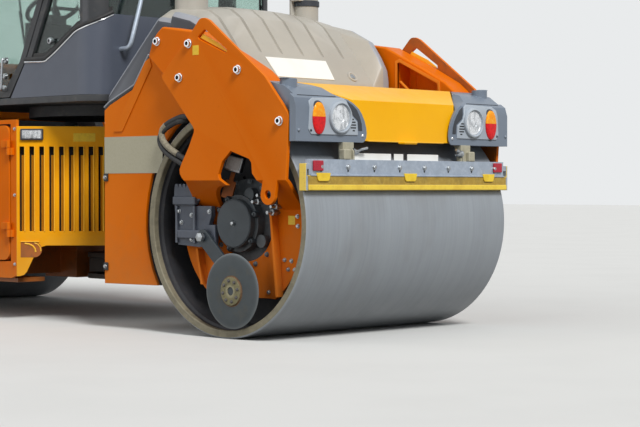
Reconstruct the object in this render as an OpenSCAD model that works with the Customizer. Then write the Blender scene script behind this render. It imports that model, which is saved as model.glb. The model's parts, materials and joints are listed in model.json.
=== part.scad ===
// Tandem vibratory roller with an articulated frame, a cab and an edge cutter.
// Origin on the road midway between the drums; +X towards the rear, +Z up.
// Outlines of a carriage's end are drawn in u, z: u runs outwards from the drum's axle.

/* [Machine] */
// Distance between the drums' axles
wheelbase = 3720; // [3500:10:3900]
// Steering pivot's place along the machine
pivot_x = 0; // [-40:5:40]

/* [Drum] */
// Outer diameter of each drum
drum_d = 1200; // [1180:5:1205]
// Width of each drum
drum_w = 1600; // [1560:5:1610]
// Wall of the drum's shell at its rim
drum_wall = 42; // [30:1:46]
// Depth of the drum's heads inside its ends
head_inset = 300; // [280:5:340]
// Thickness of the drum's heads
head_t = 30; // [20:1:40]
// Radius of the journal that carries the drum
journal_r = 60; // [40:1:80]

/* [Yoke plates] */
// Thickness of the yoke plates
yoke_t = 20; // [14:1:26]
// Gap between the drum's end and the upper plate
yoke_gap = 34; // [30:1:50]
// Depth of the lower plate inside the drum's end
yoke_inset = 150; // [130:1:170]
// Radius of the motor's hole in the lower plate
motor_hole_r = 200; // [180:1:215]
// Radius of the motor's cover
motor_cover_r = 128; // [100:1:150]
// Depth of the motor's cover
motor_cover_t = 33; // [15:1:50]

/* [Frames] */
// Width of the arms over the drum
arm_w = 144; // [120:1:150]
// Distance of the side panels' outer face from the drum's end
panel_inset = 20; // [10:1:30]
// Thickness of the outer panels
panel_t = 20; // [10:1:30]
// Height of the deck plate's underside
deck_z = 1215; // [1212:1:1225]
// Thickness of the deck plate
deck_t = 30; // [20:1:34]
// Clearance between a drum and the frame round it
drum_gap = 50; // [30:1:60]
// Half width of the neck that reaches to the steering pivot
neck_hw = 160; // [130:5:180]
// Underside of the neck
neck_z = 225; // [215:1:235]
// Top of the neck
neck_top = 385; // [370:1:386]

/* [Cab] */
// Half width of the cab
cab_hw = 740; // [720:1:750]
// Radius of the cab's rear corners
cab_corner_r = 150; // [100:5:200]
// Gap between the cab's rear wall and the engine hood
cab_hood_gap = 30; // [25:1:50]
// Front wall of the cab
cab_front_x = -900; // [-920:5:-860]
// Underside of the cab's base
cab_z = 1282; // [1280:1:1290]
// Thickness of the cab's base
cab_base_t = 40; // [30:1:50]
// Height of the roof's underside
roof_z = 2850; // [2750:10:2900]
// Thickness of the roof
roof_t = 100; // [80:5:120]
// Thickness of the cab's walls and pillars
cab_wall = 40; // [30:1:50]
// Thickness of the cab's glass
glass_t = 8; // [6:1:12]

/* [Edge cutter] */
// Radius of the cutting disc
disc_r = 196; // [170:1:200]
// Thickness of the cutting disc
disc_t = 12; // [8:1:14]
// Distance of the cutter's arm from the yoke's lower plate
cutter_gap = 72; // [69:1:80]
// Thickness of the cutter's arm
cutter_t = 16; // [12:1:20]
// Radius of the disc's spindle
spindle_r = 22; // [16:1:26]
// Radius of the pin that the arm swings on
cutter_pin_r = 20; // [14:1:24]

/* [Pivots and hinges] */
// Radius of the steering pin
pin_r = 40; // [30:1:50]
// Height of the oscillation shaft
swing_z = 305; // [300:1:310]
// Radius of the oscillation shaft
swing_r = 38; // [30:1:42]
// Radius of the hinge pins of doors and hood
hinge_pin_r = 6; // [5:1:8]
// Radius of the hinge knuckles
hinge_r = 12; // [10:1:14]
// Length of a hinge knuckle
hinge_l = 42; // [30:1:60]
// Distance of the cab doors' hinge axis from the cab's rear wall
cab_hinge_in = 410; // [406:1:412]
// Hinge axis of the service doors along the machine
bay_hinge_x = 20; // [18:1:24]

/* [Tie-downs] */
// Distance of the eye outwards from the drum's axle
eye_u = 375; // [360:5:390]
// Height of the eye's hole
eye_z = 752; // [740:1:765]
// Radius of the eye
eye_r = 52; // [45:1:60]
// Radius of the eye's hole
eye_hole_r = 22; // [18:1:26]

/* [Hidden] */

$fn = 96;
eps = 1;
rear_x = wheelbase/2;
front_x = -wheelbase/2;
drum_r = drum_d/2;
bore_r = drum_r - drum_wall;
drum_end = drum_w/2;
head_y = drum_end - head_inset;
yoke_out_y = drum_end + yoke_gap;
yoke_in_y = drum_end - yoke_inset;
arm_in_y = yoke_out_y - arm_w;
panel_y = drum_end - panel_inset;
hood_front_u = -1120;
cab_rear_x = rear_x + hood_front_u - cab_hood_gap;
run_gap = 0.05;

orange = "#D96500";
amber = "#FFB800";
slate = "#55595F";
lit_grey = "#B5AFA0";
lamp_grey = "#7A8696";
dark = "#2B2E33";
steel = "#8E9399";
beige = "#A8A48C";

// Frame of a carriage's end: u outwards, y as the machine's width
module at_rear() { translate([rear_x, 0, 0]) children(); }
module at_front() { translate([front_x, 0, 0]) rotate([0, 0, 180]) children(); }
// Both sides of the machine
module both_sides() { children(); mirror([0, 1, 0]) children(); }
// A plate drawn in u, z that stands between two distances from the middle
module side_plate(y0, y1) {
    translate([0, y1, 0]) rotate([90, 0, 0]) linear_extrude(y1 - y0) children();
}
// A solid drawn in u, z across the machine's middle
module cross_plate(hw) { side_plate(-hw, hw) children(); }
// A cylinder along the machine's width between two distances from the middle
module y_cyl(r, y0, y1, u = 0, z = 0) {
    translate([u, y1, z]) rotate([90, 0, 0]) cylinder(r = r, h = y1 - y0);
}
// A block between two corners
module block(a, b) { translate(a) cube([b[0] - a[0], b[1] - a[1], b[2] - a[2]]); }
// Points of an arc about the drum's axle
function drum_arc(r, a0, a1, n) = [for (i = [0:n]) let (a = a0 + (a1 - a0)*i/n)
    [r*cos(a), drum_r + r*sin(a)]];

// Fixed half of an upright hinge: a knuckle with its pin, and the foot that carries it
module hinge_post(x, y, z, foot_x, foot_y) {
    translate([x, y, z - hinge_l - 2]) {
        cylinder(r = hinge_r, h = hinge_l, $fn = 32);
        cylinder(r = hinge_pin_r, h = 2*hinge_l, $fn = 32);
    }
    block([min(x, foot_x), foot_y, z - hinge_l - 2], [max(x, foot_x), y, z - 2]);
}
// Moving half of an upright hinge: a flap with its knuckle round the pin
module hinge_flap(x, y, z, from_x, pad_x, pad_y) {
    difference() {
        union() {
            translate([x, y, z]) cylinder(r = hinge_r, h = hinge_l, $fn = 32);
            block([from_x, y - hinge_r, z], [x, y, z + hinge_l]);
            block([from_x, pad_y, z], [pad_x, y, z + hinge_l]);
        }
        translate([x, y, z - eps]) cylinder(r = hinge_pin_r + run_gap, h = hinge_l + 2*eps, $fn = 32);
    }
}

// Drum: a shell with two heads, each with the journal's bore
module drum() {
    rotate([90, 0, 0]) rotate_extrude($fn = 128) polygon([
        [journal_r + run_gap, head_y], [journal_r + run_gap, head_y + head_t + 20],
        [journal_r + 45, head_y + head_t + 20], [journal_r + 45, head_y + head_t],
        [bore_r - 12, head_y + head_t], [bore_r - 12, drum_end - 60],
        [bore_r, drum_end - 50], [bore_r, drum_end],
        [drum_r, drum_end], [drum_r, -drum_end],
        [bore_r, -drum_end], [bore_r, -drum_end + 50],
        [bore_r - 12, -drum_end + 60], [bore_r - 12, -head_y - head_t],
        [journal_r + 45, -head_y - head_t], [journal_r + 45, -head_y - head_t - 20],
        [journal_r + run_gap, -head_y - head_t - 20], [journal_r + run_gap, -head_y],
        [bore_r - 12, -head_y], [bore_r - 12, head_y]]);
}
module rear_drum() { color(steel) at_rear() translate([0, 0, drum_r]) drum(); }
module front_drum() { color(steel) at_front() translate([0, 0, drum_r]) drum(); }

// Yoke plate: an upper plate outside the drum, a bend inwards and a lower plate
// inside the drum's recess. Its strip of y, z is cut to its outline of u, z.
bend_top = 825;
bend_low = 675;
module yoke_strip() {
    rotate([90, 0, 90]) translate([0, 0, -700]) linear_extrude(1400) polygon([
        [yoke_out_y + yoke_t, 1720], [yoke_out_y + yoke_t, bend_top],
        [yoke_in_y + yoke_t, bend_low], [yoke_in_y + yoke_t, 180],
        [yoke_in_y, 180], [yoke_in_y, bend_low + 8],
        [yoke_out_y, bend_top + 8], [yoke_out_y, 1720]]);
}
module yoke_outline() {
    polygon(concat(
        [[-200, 1602], [-142, 1662], [-128, 1672], [-113, 1675], [-92, 1674], [-60, 1660],
         [350, 1353], [514, 1165], [524, 1145], [516, 1011], [502, 815], [452, 690]],
        drum_arc(460, 5, -58, 8),
        [[200, 212], [-240, 212]],
        drum_arc(455, 230, 192, 5),
        [[-445, 560], [-400, 640], [-300, 745], [-250, 820], [-274, 841], [-288, 862],
         [-290, 884], [-274, 916], [-217, 1002], [-178, 1078], [-177, 1092], [-186, 1109],
         [-330, 1264], [-428, 1370], [-432, 1385], [-411, 1408]]));
}
module yoke_holes() {
    // Window between the legs
    polygon([[103, 976], [239, 934], [255, 915], [261, 860], [320, 797], [345, 745],
        [230, 640], [60, 700], [64, 766], [14, 840], [10, 858], [41, 924]]);
    translate([30, drum_r]) circle(motor_hole_r);
    // Slot below the upper corner
    polygon([[-96, 1612], [-84, 1610], [76, 1502], [78, 1488], [64, 1483],
        [-140, 1566], [-144, 1578]]);
}
module yoke() {
    intersection() {
        yoke_strip();
        side_plate(yoke_in_y - eps, yoke_out_y + yoke_t + eps) difference() {
            yoke_outline();
            yoke_holes();
        }
    }
    // Tie-down eye that hangs from the rear leg
    side_plate(yoke_out_y, yoke_out_y + yoke_t) difference() {
        union() {
            translate([eye_u, eye_z]) circle(eye_r);
            polygon([[eye_u - eye_r, eye_z], [eye_u + eye_r, eye_z],
                [eye_u + eye_r + 20, bend_top + 20], [eye_u - eye_r + 20, bend_top + 20]]);
        }
        translate([eye_u, eye_z]) circle(eye_hole_r);
    }
}
module rear_yokes() { color(orange) at_rear() both_sides() yoke(); }
module front_yokes() { color(orange) at_front() both_sides() yoke(); }

// Arm: a box beam over the drum that carries the yoke plate
module arm() {
    difference() {
        side_plate(arm_in_y, yoke_out_y) polygon([
            [-567, 1494], [-534, 1579], [-500, 1618], [-476, 1636], [-452, 1652],
            [-205, 1615], [80, 1480], [250, 1392], [310, 1345], [345, 1310], [345, 1250],
            [-190, 1250], [-330, 1264], [-428, 1376]]);
        side_plate(arm_in_y - eps, yoke_out_y - 24) polygon([
            [-60, 1290], [-60, 1475], [-40, 1488], [200, 1375], [205, 1290]]);
    }
}
module rear_arms() { color(orange) at_rear() both_sides() arm(); }
module front_arms() { color(orange) at_front() both_sides() arm(); }

// Side of the frame: end next to the pivot, foot of the arm and an arc round the drum
frame_u = -1000;
frame_foot = 252;
rear_shoulder = [[frame_u, 1220], [-952, 1249], [-737, 1336]];
front_shoulder = [[frame_u, 1190], [-850, 1190], [-800, 1290], [-737, 1336]];
function side_outline(shoulder) = concat(
    [[frame_u, frame_foot]], shoulder,
    [[-611, 1500], [-567, 1494], [-428, 1376], [-330, 1264]],
    drum_arc(drum_r + drum_gap, 120.5, 212, 10));
module frame_sides(shoulder) {
    both_sides() side_plate(arm_in_y, panel_y - panel_t) polygon(side_outline(shoulder));
}
// Walls and floor of the space between the pivot and the drum
module frame_walls(top) {
    block([frame_u, -arm_in_y, frame_foot], [frame_u + 35, arm_in_y, top]);
    block([-720, -arm_in_y, 300], [-695, arm_in_y, top]);
    block([frame_u, -arm_in_y, frame_foot], [-695, arm_in_y, 300]);
}
// Deck over the drum with a flange along each arm
module deck(from_u) {
    block([from_u, -arm_in_y, deck_z], [330, arm_in_y, deck_z + deck_t]);
    both_sides() block([-500, arm_in_y - 14, deck_z], [330, arm_in_y, 1290]);
}
module rear_frame() {
    color(dark) {
        at_rear() {
            frame_sides(rear_shoulder);
            deck(frame_u);
            frame_walls(deck_z);
        }
        // Neck with two plates round the steering pivot
        neck_x = rear_x + frame_u;
        difference() {
            union() {
                block([pivot_x, -neck_hw, neck_z], [neck_x, neck_hw, neck_top]);
                translate([pivot_x, 0, neck_z]) cylinder(r = neck_hw, h = neck_top - neck_z);
            }
            block([pivot_x - neck_hw - eps, -neck_hw - eps, neck_z + 30],
                [pivot_x + neck_hw + 30, neck_hw + eps, neck_top - 30]);
            translate([pivot_x, 0, neck_z - eps])
                cylinder(r = pin_r + run_gap, h = neck_top - neck_z + 2*eps);
        }
    }
}

// Outer side panels of the rear frame
module rear_side_panels() {
    color(orange) at_rear() both_sides() side_plate(panel_y - panel_t, panel_y)
        polygon(side_outline(rear_shoulder));
}

// Journal, casting and motor cover on a yoke's lower plate
module drum_mount() {
    translate([0, 0, drum_r]) {
        y_cyl(235, yoke_in_y - 20, yoke_in_y, 30, 0);
        y_cyl(journal_r, head_y + 6, yoke_in_y - 20);
        y_cyl(150, yoke_in_y, yoke_in_y + 50);
        y_cyl(motor_cover_r, yoke_in_y + 50, yoke_in_y + 50 + motor_cover_t);
        // Lobes of the casting
        for (a = [-35, 75, 200])
            y_cyl(34, yoke_in_y, yoke_in_y + 40, 30 + 158*cos(a), 158*sin(a));
    }
}
module rear_drum_mounts() { color("#464F55") at_rear() both_sides() drum_mount(); }
module front_drum_mounts() { color("#464F55") at_front() both_sides() drum_mount(); }

// Hydraulic hoses from the deck, out over the drum's end and in behind the yoke plate
// to the lower plate. Columns: u, distance outwards from the drum's end, z,
// share of the spread
hose_r = 15;
hose_n = 2;
hose_pitch = 40;
hose_step = 22;
hose_top_u = -305;
hose_top_z = 1175;
hose_end_u = -280;
hose_end_z = 578;
hose_start = [[hose_top_u, -140, hose_top_z, 0], [hose_top_u, -100, 1166, 0],
    [hose_top_u, 2, 1146, 0], [-370, 10, 1136, 0.4], [-450, 22, 1095, 0.8],
    [-480, 24, 1040, 1]];
hose_finish = [[-480, 24, 1040, 1], [-430, 22, 975, 1], [-300, -2, 900, 1],
    [-300, -70, 850, 0.6], [-345, -180, 720, 0], [-320, -208, 600, 0],
    [hose_end_u, -178, hose_end_z, 0]];
function hose_point(p, i, e) = [p[0] + i*(14*p[3] + e[0]*(1 - p[3])), drum_end + p[1],
    p[2] + i*(30*p[3] + e[1]*(1 - p[3]))];
module hose_run(route, i, e) {
    for (k = [1:len(route) - 1]) hull() {
        translate(hose_point(route[k - 1], i, e)) sphere(hose_r, $fn = 8);
        translate(hose_point(route[k], i, e)) sphere(hose_r, $fn = 8);
    }
}
module hoses() {
    for (i = [0:hose_n - 1]) {
        hose_run(hose_start, i, [hose_pitch, hose_step]);
        hose_run(hose_finish, i, [0, hose_pitch]);
        // Fittings on the deck's underside and on the yoke's lower plate
        translate([hose_top_u + hose_pitch*i, drum_end + hose_start[0][1], hose_top_z + hose_step*i])
            cylinder(r = 17, h = deck_z - hose_top_z - hose_step*i, $fn = 24);
        y_cyl(17, yoke_in_y - 28, yoke_in_y, hose_end_u, hose_end_z + hose_pitch*i);
    }
}
module rear_hoses() { color("#1C1D20") at_rear() both_sides() hoses(); }
module front_hoses() { color("#1C1D20") at_front() both_sides() hoses(); }

// Cover at the end of a carriage: a bent sheet, narrower towards its foot
cover_hw = arm_in_y - 76;
module end_cover() {
    intersection() {
        cross_plate(cover_hw + 6) polygon([[-140, deck_z + deck_t], [-140, 1345], [352, 1330],
            [547, 1240], [565, 1030], [545, 1030], [528, 1226], [346, 1310],
            [-120, 1325], [-120, deck_z + deck_t]]);
        linear_extrude(2000) polygon([[-141, cover_hw], [352, cover_hw], [547, 410],
            [566, 313], [566, -313], [547, -410], [352, -cover_hw], [-141, -cover_hw]]);
    }
    // Stiffener that sits on the deck's end
    block([300, -300, deck_z + deck_t], [322, 300, 1312]);
}
// Hinge knuckles and pins on the rear cover's front edge carry the hood
hood_hinge_u = -146;
hood_hinge_z = 1360;
hood_hinge_y = 400;
module rear_cover() {
    color(amber) at_rear() {
        end_cover();
        both_sides() {
            y_cyl(hinge_r, hood_hinge_y + 2, hood_hinge_y + 2 + hinge_l, hood_hinge_u, hood_hinge_z);
            y_cyl(hinge_pin_r, hood_hinge_y - hinge_l, hood_hinge_y + 10, hood_hinge_u, hood_hinge_z);
            block([hood_hinge_u, hood_hinge_y + 2, 1345],
                [hood_hinge_u + 30, hood_hinge_y + 2 + hinge_l, hood_hinge_z]);
        }
    }
}
module front_cover() { color(amber) at_front() end_cover(); }

// Lamp housing beside the cover, wrapped round the yoke plate's edge
module lamp_housing() {
    intersection() {
        side_plate(300, yoke_out_y + yoke_t) polygon([[345, 1330], [470, 1300], [560, 1238],
            [575, 1190], [575, 1020], [458, 1020], [345, 1122]]);
        linear_extrude(2000) difference() {
            polygon([[345, cover_hw + 12], [354, cover_hw + 8], [551, 414], [576, 318],
                [576, yoke_out_y + yoke_t], [345, yoke_out_y + yoke_t]]);
            // Room for the yoke plate
            translate([344, yoke_out_y - 6]) square([186, yoke_t + 7]);
        }
    }
    // Boss on the housing's upper corner
    translate([440, yoke_out_y - 64, 1290]) cylinder(r = 44, h = 48);
}
round_lamp_y = 539;
oval_lamp_y = 686;
module lamps() {
    translate([575, round_lamp_y, 1144]) rotate([0, 90, 0]) cylinder(r = 68, h = 12);
    translate([575, oval_lamp_y, 1098]) rotate([90, 0, 90]) linear_extrude(14) union() {
        circle(31);
        translate([0, 72]) circle(31);
        translate([-31, 0]) square([62, 72]);
    }
}
module rear_lamp_housings() { color(lamp_grey) at_rear() both_sides() lamp_housing(); }
module front_lamp_housings() { color(lamp_grey) at_front() both_sides() lamp_housing(); }
module rear_lamps() { color("#D8101A") at_rear() both_sides() lamps(); }
module front_lamps() { color("#F9A000") at_front() both_sides() lamps(); }

// Scraper beam at the carriage's end, with its tray, brackets and end flanges,
// and the inner scraper on the frame's wall
module scrapers() {
    beam_y = drum_end - 14;
    tray_y = drum_end + 6;
    block([568, -beam_y, 848], [600, beam_y, 931]);
    block([586, -tray_y, 773], [606, tray_y, 848]);
    both_sides() {
        block([560, tray_y, 773], [606, tray_y + 10, 909]);
        block([548, 434, 931], [580, 516, 1020]);
        block([568, beam_y, 880], [600, tray_y, 909]);
    }
    block([-695, -arm_in_y + 50, 400], [-660, arm_in_y - 50, 460]);
    block([-660, -arm_in_y + 5, 425], [-583, arm_in_y - 5, 433]);
}
module rear_scrapers() { color(beige) at_rear() scrapers(); }
module front_scrapers() { color(beige) at_front() scrapers(); }

module engine_block() {
    color(dark) at_rear() block([-820, -400, deck_z + deck_t], [-380, 400, 1560]);
}

// Plan of the cab, round at its rear corners
module cab_plan(inset) {
    r = cab_corner_r - inset;
    w = cab_hw - inset;
    x0 = cab_front_x + inset;
    x1 = cab_rear_x - inset;
    translate([x0, -w]) square([x1 - r - x0, 2*w]);
    translate([x1 - r - eps, r - w]) square([r + eps, 2*(w - r)]);
    for (side = [-1, 1]) translate([x1 - r, side*(w - r)]) circle(r);
}
// Upright skin of the cab between two depths and two heights
module cab_skin(outer, inner, z0, z1) {
    translate([0, 0, z0]) linear_extrude(z1 - z0) difference() {
        cab_plan(outer);
        cab_plan(inner);
    }
}
// Cab base: floor, the round plate over the steering pivot and the bar that
// carries both from the rear frame
spine_z = 1215;
spine_r = 520;
spine_hw = 200;
module cab_base() {
    color(dark) {
        translate([0, 0, cab_z]) linear_extrude(cab_base_t) cab_plan(0);
        translate([pivot_x, 0, spine_z]) cylinder(r = spine_r, h = cab_z - spine_z);
        block([pivot_x, -spine_hw, spine_z], [cab_rear_x, spine_hw, cab_z]);
        block([cab_rear_x - eps, -spine_hw, spine_z],
            [rear_x + frame_u, spine_hw, deck_z + deck_t]);
    }
}
cab_floor = cab_z + cab_base_t;
sill_z = 1535;
front_sill_h = 90;
header_h = 60;
corner_w = 120;
// Sill of the rear side windows: level, then a rising arc to the rear wall
sill_line = [for (p = [[-626, 0], [-460, -5], [-410, 10], [-360, 35], [-310, 63],
    [-260, 93], [-210, 122], [-150, 155], [-90, 185], [-40, 217], [0, 250]])
    [cab_rear_x + p[0], sill_z + p[1]]];
// Slanted pillar behind the doors: its front and rear edges from sill to roof
pillar_x = cab_rear_x - 626;
knee_z = 1890;
pillar_front = [[pillar_x, sill_z], [pillar_x + 176, knee_z], [pillar_x + 216, roof_z]];
pillar_rear = [[pillar_x + 261, roof_z], [pillar_x + 221, knee_z], [pillar_x + 45, sill_z]];
module wall_face() {
    polygon(concat([[pillar_x - 148, cab_floor]], sill_line, [[cab_rear_x, cab_floor]]));
    translate([cab_front_x, cab_floor]) square([cab_wall, front_sill_h]);
}
// Lower walls: sides behind the doors, rear wall and the sill of the windscreen
module cab_walls() {
    color(slate) intersection() {
        cab_skin(0, cab_wall, cab_floor, roof_z);
        cross_plate(cab_hw + eps) wall_face();
    }
}
module rear_corners(grow) {
    both_sides() block([cab_rear_x - corner_w - grow, cab_hw - corner_w - grow, sill_z],
        [cab_rear_x + grow, cab_hw + grow, roof_z]);
}
module cab_pillars() {
    color(dark) {
        difference() {
            intersection() {
                cab_skin(0, cab_wall, cab_floor + front_sill_h, roof_z);
                union() {
                    rear_corners(0);
                    cross_plate(cab_hw + eps) polygon(concat(pillar_front, pillar_rear));
                    // Headers over the windows, and the front pillars
                    block([pillar_x + 261, -cab_hw, roof_z - header_h], [cab_rear_x, cab_hw, roof_z]);
                    block([cab_front_x, -cab_hw, roof_z - header_h],
                        [cab_front_x + cab_wall, cab_hw, roof_z]);
                    both_sides() block([cab_front_x, cab_hw - cab_wall, cab_floor],
                        [cab_front_x + cab_wall, cab_hw, roof_z]);
                }
            }
            cross_plate(cab_hw + eps) wall_face();
        }
        both_sides() for (z = cab_hinge_z)
            hinge_post(cab_hinge_x, cab_hinge_y, z, cab_hinge_x - 10, cab_hw);
    }
}
cab_hinge_x = cab_rear_x - cab_hinge_in;
cab_hinge_y = cab_hw + 17;
cab_hinge_z = [knee_z + 70, roof_z - 200];
// Roof: a crowned shell with round corners that stands proud of the walls
module roof_plate(grow, z, h) {
    hull() for (x = [cab_front_x + 60, cab_rear_x - 80], side = [-1, 1])
        translate([x, side*(cab_hw - 100), z]) cylinder(r = 140 + grow, h = h, $fn = 40);
}
module cab_roof() {
    color("#D8D8D2") hull() {
        roof_plate(0, roof_z, 40);
        roof_plate(-30, roof_z, roof_t - 22);
        roof_plate(-110, roof_z, roof_t);
    }
}
// Fixed panes: windscreen, rear window and the two rear side windows
module cab_glass() {
    color("#7FA5A0", 0.4) difference() {
        intersection() {
            cab_skin(pane_y, pane_y + glass_t, cab_floor + front_sill_h, roof_z - header_h);
            union() {
                cross_plate(cab_hw) polygon(concat([for (i = [1:10]) sill_line[i]],
                    [[cab_rear_x, roof_z]], pillar_rear));
                block([cab_front_x, -cab_hw + cab_wall, cab_floor],
                    [cab_front_x + cab_wall, cab_hw - cab_wall, roof_z]);
            }
        }
        rear_corners(eps);
        cross_plate(cab_hw) wall_face();
    }
}
pane_y = 16;
module seat() {
    color("#2A2C30") {
        block([-60, -210, cab_floor], [300, 210, 1500]);
        block([-120, -250, 1500], [340, 250, 1600]);
        block([260, -240, 1600], [360, 240, 2150]);
    }
}
module steering_console() {
    color(dark) {
        block([-700, -150, cab_floor], [-600, 150, 1850]);
        translate([-560, 0, 1900]) rotate([0, -30, 0]) {
            cylinder(r = 25, h = 60);
            translate([0, 0, 60]) rotate_extrude() translate([180, 0]) circle(14, $fn = 24);
            translate([0, 0, 55]) for (a = [90, 210, 330]) rotate([0, 0, a])
                translate([0, -12, 0]) cube([172, 24, 10]);
        }
        block([-620, -60, 1840], [-540, 60, 1900]);
    }
}

// Engine hood: a convex shell, closed at its sides and open below
hood_hw = arm_in_y - 22;
hood_t = 22;
function hood_profile(d) = [[hood_front_u + d, 1250], [hood_front_u + 15 + d, 1385 - d/2],
    [-880 + d/2, 1620 - d],
    [-680, 1780 - d], [-540, 1757 - d], [-275 - d, 1523 - d], [-160 - d, 1375 - d],
    [-152 - d, 1250]];
module hood_form(d) {
    hull() {
        cross_plate(hood_hw - 98 - d) polygon(hood_profile(d));
        cross_plate(hood_hw - d) polygon(hood_profile(d + 60));
        block([hood_front_u + 2 + d, -hood_hw + d, 1250], [-160 - d, hood_hw - d, 1300]);
    }
}
module hood() {
    color(lit_grey) at_rear() {
        difference() {
            hood_form(0);
            translate([0, 0, -eps]) hood_form(hood_t);
        }
        both_sides() difference() {
            union() {
                y_cyl(hinge_r, hood_hinge_y - hinge_l, hood_hinge_y, hood_hinge_u, hood_hinge_z);
                block([-172, hood_hinge_y - hinge_l, hood_hinge_z - hinge_r],
                    [hood_hinge_u, hood_hinge_y, hood_hinge_z]);
            }
            y_cyl(hinge_pin_r + run_gap, hood_hinge_y - hinge_l - eps, hood_hinge_y + eps,
                hood_hinge_u, hood_hinge_z);
        }
    }
}
module hood_stacks() {
    color(lit_grey) at_rear() difference() {
        union() {
            translate([-660, -430, 1700]) cylinder(r = 95, h = 260);
            translate([-620, 450, 1700]) cylinder(r = 78, h = 320);
        }
        hood_form(0);
    }
}

// Knuckle: turns on the neck's pin and carries the front carriage's pivot shaft
module knuckle() {
    color(dark) {
        translate([pivot_x, 0, neck_z - 4]) cylinder(r = pin_r, h = neck_top - neck_z + 8);
        block([pivot_x - 130, -90, neck_z + 36], [pivot_x + 90, 90, neck_top - 36]);
        translate([pivot_x - 350, 0, swing_z]) rotate([0, 90, 0]) cylinder(r = swing_r, h = 221);
    }
}

// Front carriage: outline of its body in plan, behind and ahead of the pivot
body_x0 = front_x - frame_u;
corner_x = 78;
nose_x = 440;
nose_y = 418;
skin_gap = 70;
module front_plan(inset) {
    polygon([[body_x0, panel_y - inset], [corner_x - inset*0.4, panel_y - inset],
        [nose_x - inset*1.4, nose_y], [nose_x - inset*1.4, -nose_y],
        [corner_x - inset*0.4, inset - panel_y], [body_x0, inset - panel_y]]);
}
// Body between the pivot and the front frame, with a bay behind each service door,
// the block that holds the oscillation shaft and the skid plates below
body_z = 455;
body_top = 1140;
bay_y = 400;
module front_body() {
    box_y = panel_y - skin_gap;
    color(dark) difference() {
        union() {
            translate([0, 0, body_z]) linear_extrude(body_top - body_z) front_plan(skin_gap);
            block([body_x0, -box_y, frame_foot], [-340, box_y, body_z]);
            block([-500, -150, neck_z], [-180, 150, body_z]);
            both_sides() block([body_x0, 560, neck_z], [30, panel_y - 20, frame_foot]);
        }
        translate([-370, 0, swing_z]) rotate([0, 90, 0]) cylinder(r = swing_r + run_gap, h = 200);
        both_sides() block([-560, bay_y, body_z + 20], [-40, panel_y, 1100]);
    }
}
module front_frame() {
    color(dark) at_front() {
        frame_sides(front_shoulder);
        deck(-640);
        frame_walls(body_top);
        block([frame_u, -arm_in_y, body_top], [-620, arm_in_y, body_top + 20]);
        block([-640, -arm_in_y, body_top], [-620, arm_in_y, deck_z]);
    }
}
door_x0 = -600;
door_x1 = 15;
door_z0 = 350;
door_z1 = 1165;
bay_hinge_y = panel_y + panel_t + 20;
bay_hinge_z = [540, 1025];
module front_side_panels() {
    color(orange) both_sides() {
        at_front() side_plate(panel_y - panel_t, panel_y) polygon(side_outline(front_shoulder));
        side_plate(panel_y, panel_y + panel_t) difference() {
            polygon([[body_x0, frame_foot], [body_x0, 1190], [mitre_x, 1190],
                [mitre_x, 268], [20, frame_foot]]);
            polygon([[door_x0, door_z0], [door_x0, door_z1], [door_x1, door_z1],
                [door_x1, door_z0]]);
        }
        side_plate(panel_y - skin_gap, panel_y) polygon([[body_x0 + 20, frame_foot],
            [body_x0 + 20, 1130], [door_x0 - 40, 1130], [door_x0 - 40, frame_foot]]);
        for (z = bay_hinge_z)
            hinge_post(bay_hinge_x, bay_hinge_y, z, bay_hinge_x + 28, panel_y + panel_t);
    }
}
// Slotted corner panels: a row of upright slots in a chamfer
slot_n = 9;
slot_pitch = 58;
slot_w = 28;
chamfer_l = norm([nose_x - corner_x, panel_y + panel_t - nose_y]);
chamfer_a = atan2(panel_y + panel_t - nose_y, nose_x - corner_x);
mitre_x = corner_x - panel_t*tan(chamfer_a/2);
grille_top = 1150;
grille_foot = 445;
// The panel's outline seen square to the chamfer, with its slots
module grille_face() {
    difference() {
        polygon([[-20, grille_top], [chamfer_l + 20, grille_top],
            [chamfer_l + 20, grille_foot], [170, grille_foot], [140, 435], [110, 405],
            [56, 290], [40, 272], [20, 265], [-20, 262]]);
        for (i = [0:slot_n - 1]) translate([14 + i*slot_pitch, 530]) square([slot_w, 500]);
    }
}
module front_grilles() {
    color(amber) both_sides() intersection() {
        translate([corner_x, panel_y + panel_t, 0]) rotate([0, 0, -chamfer_a])
            side_plate(-40, 20) grille_face();
        linear_extrude(1300) polygon([
            [mitre_x, panel_y], [mitre_x, panel_y + panel_t], [corner_x, panel_y + panel_t],
            [nose_x, nose_y], [nose_x - panel_t*sin(chamfer_a), nose_y - panel_t*cos(chamfer_a)]]);
    }
}
// Water tank between the front arms
module front_tank() {
    color(orange) at_front() hull() {
        cross_plate(arm_in_y - 120) polygon([[-610, deck_z + deck_t], [-610, 1600], [-520, 1640],
            [-300, 1560], [-170, 1400], [-160, deck_z + deck_t]]);
        cross_plate(arm_in_y - 50) polygon([[-590, deck_z + deck_t], [-590, 1560], [-500, 1590],
            [-330, 1520], [-190, 1370], [-180, deck_z + deck_t]]);
    }
}
module service_door() {
    color(orange) {
        side_plate(panel_y + 1, panel_y + panel_t + 6) hull() {
            for (x = [door_x0 + 58, door_x1 - 58], z = [door_z0 + 58, door_z1 - 58])
                translate([x, z]) circle(50, $fn = 24);
        }
        for (z = bay_hinge_z)
            hinge_flap(bay_hinge_x, bay_hinge_y, z, bay_hinge_x - 70, bay_hinge_x - 20,
                panel_y + panel_t + 6);
    }
}
module service_door_right() { service_door(); }
module service_door_left() { mirror([0, 1, 0]) service_door(); }

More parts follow.
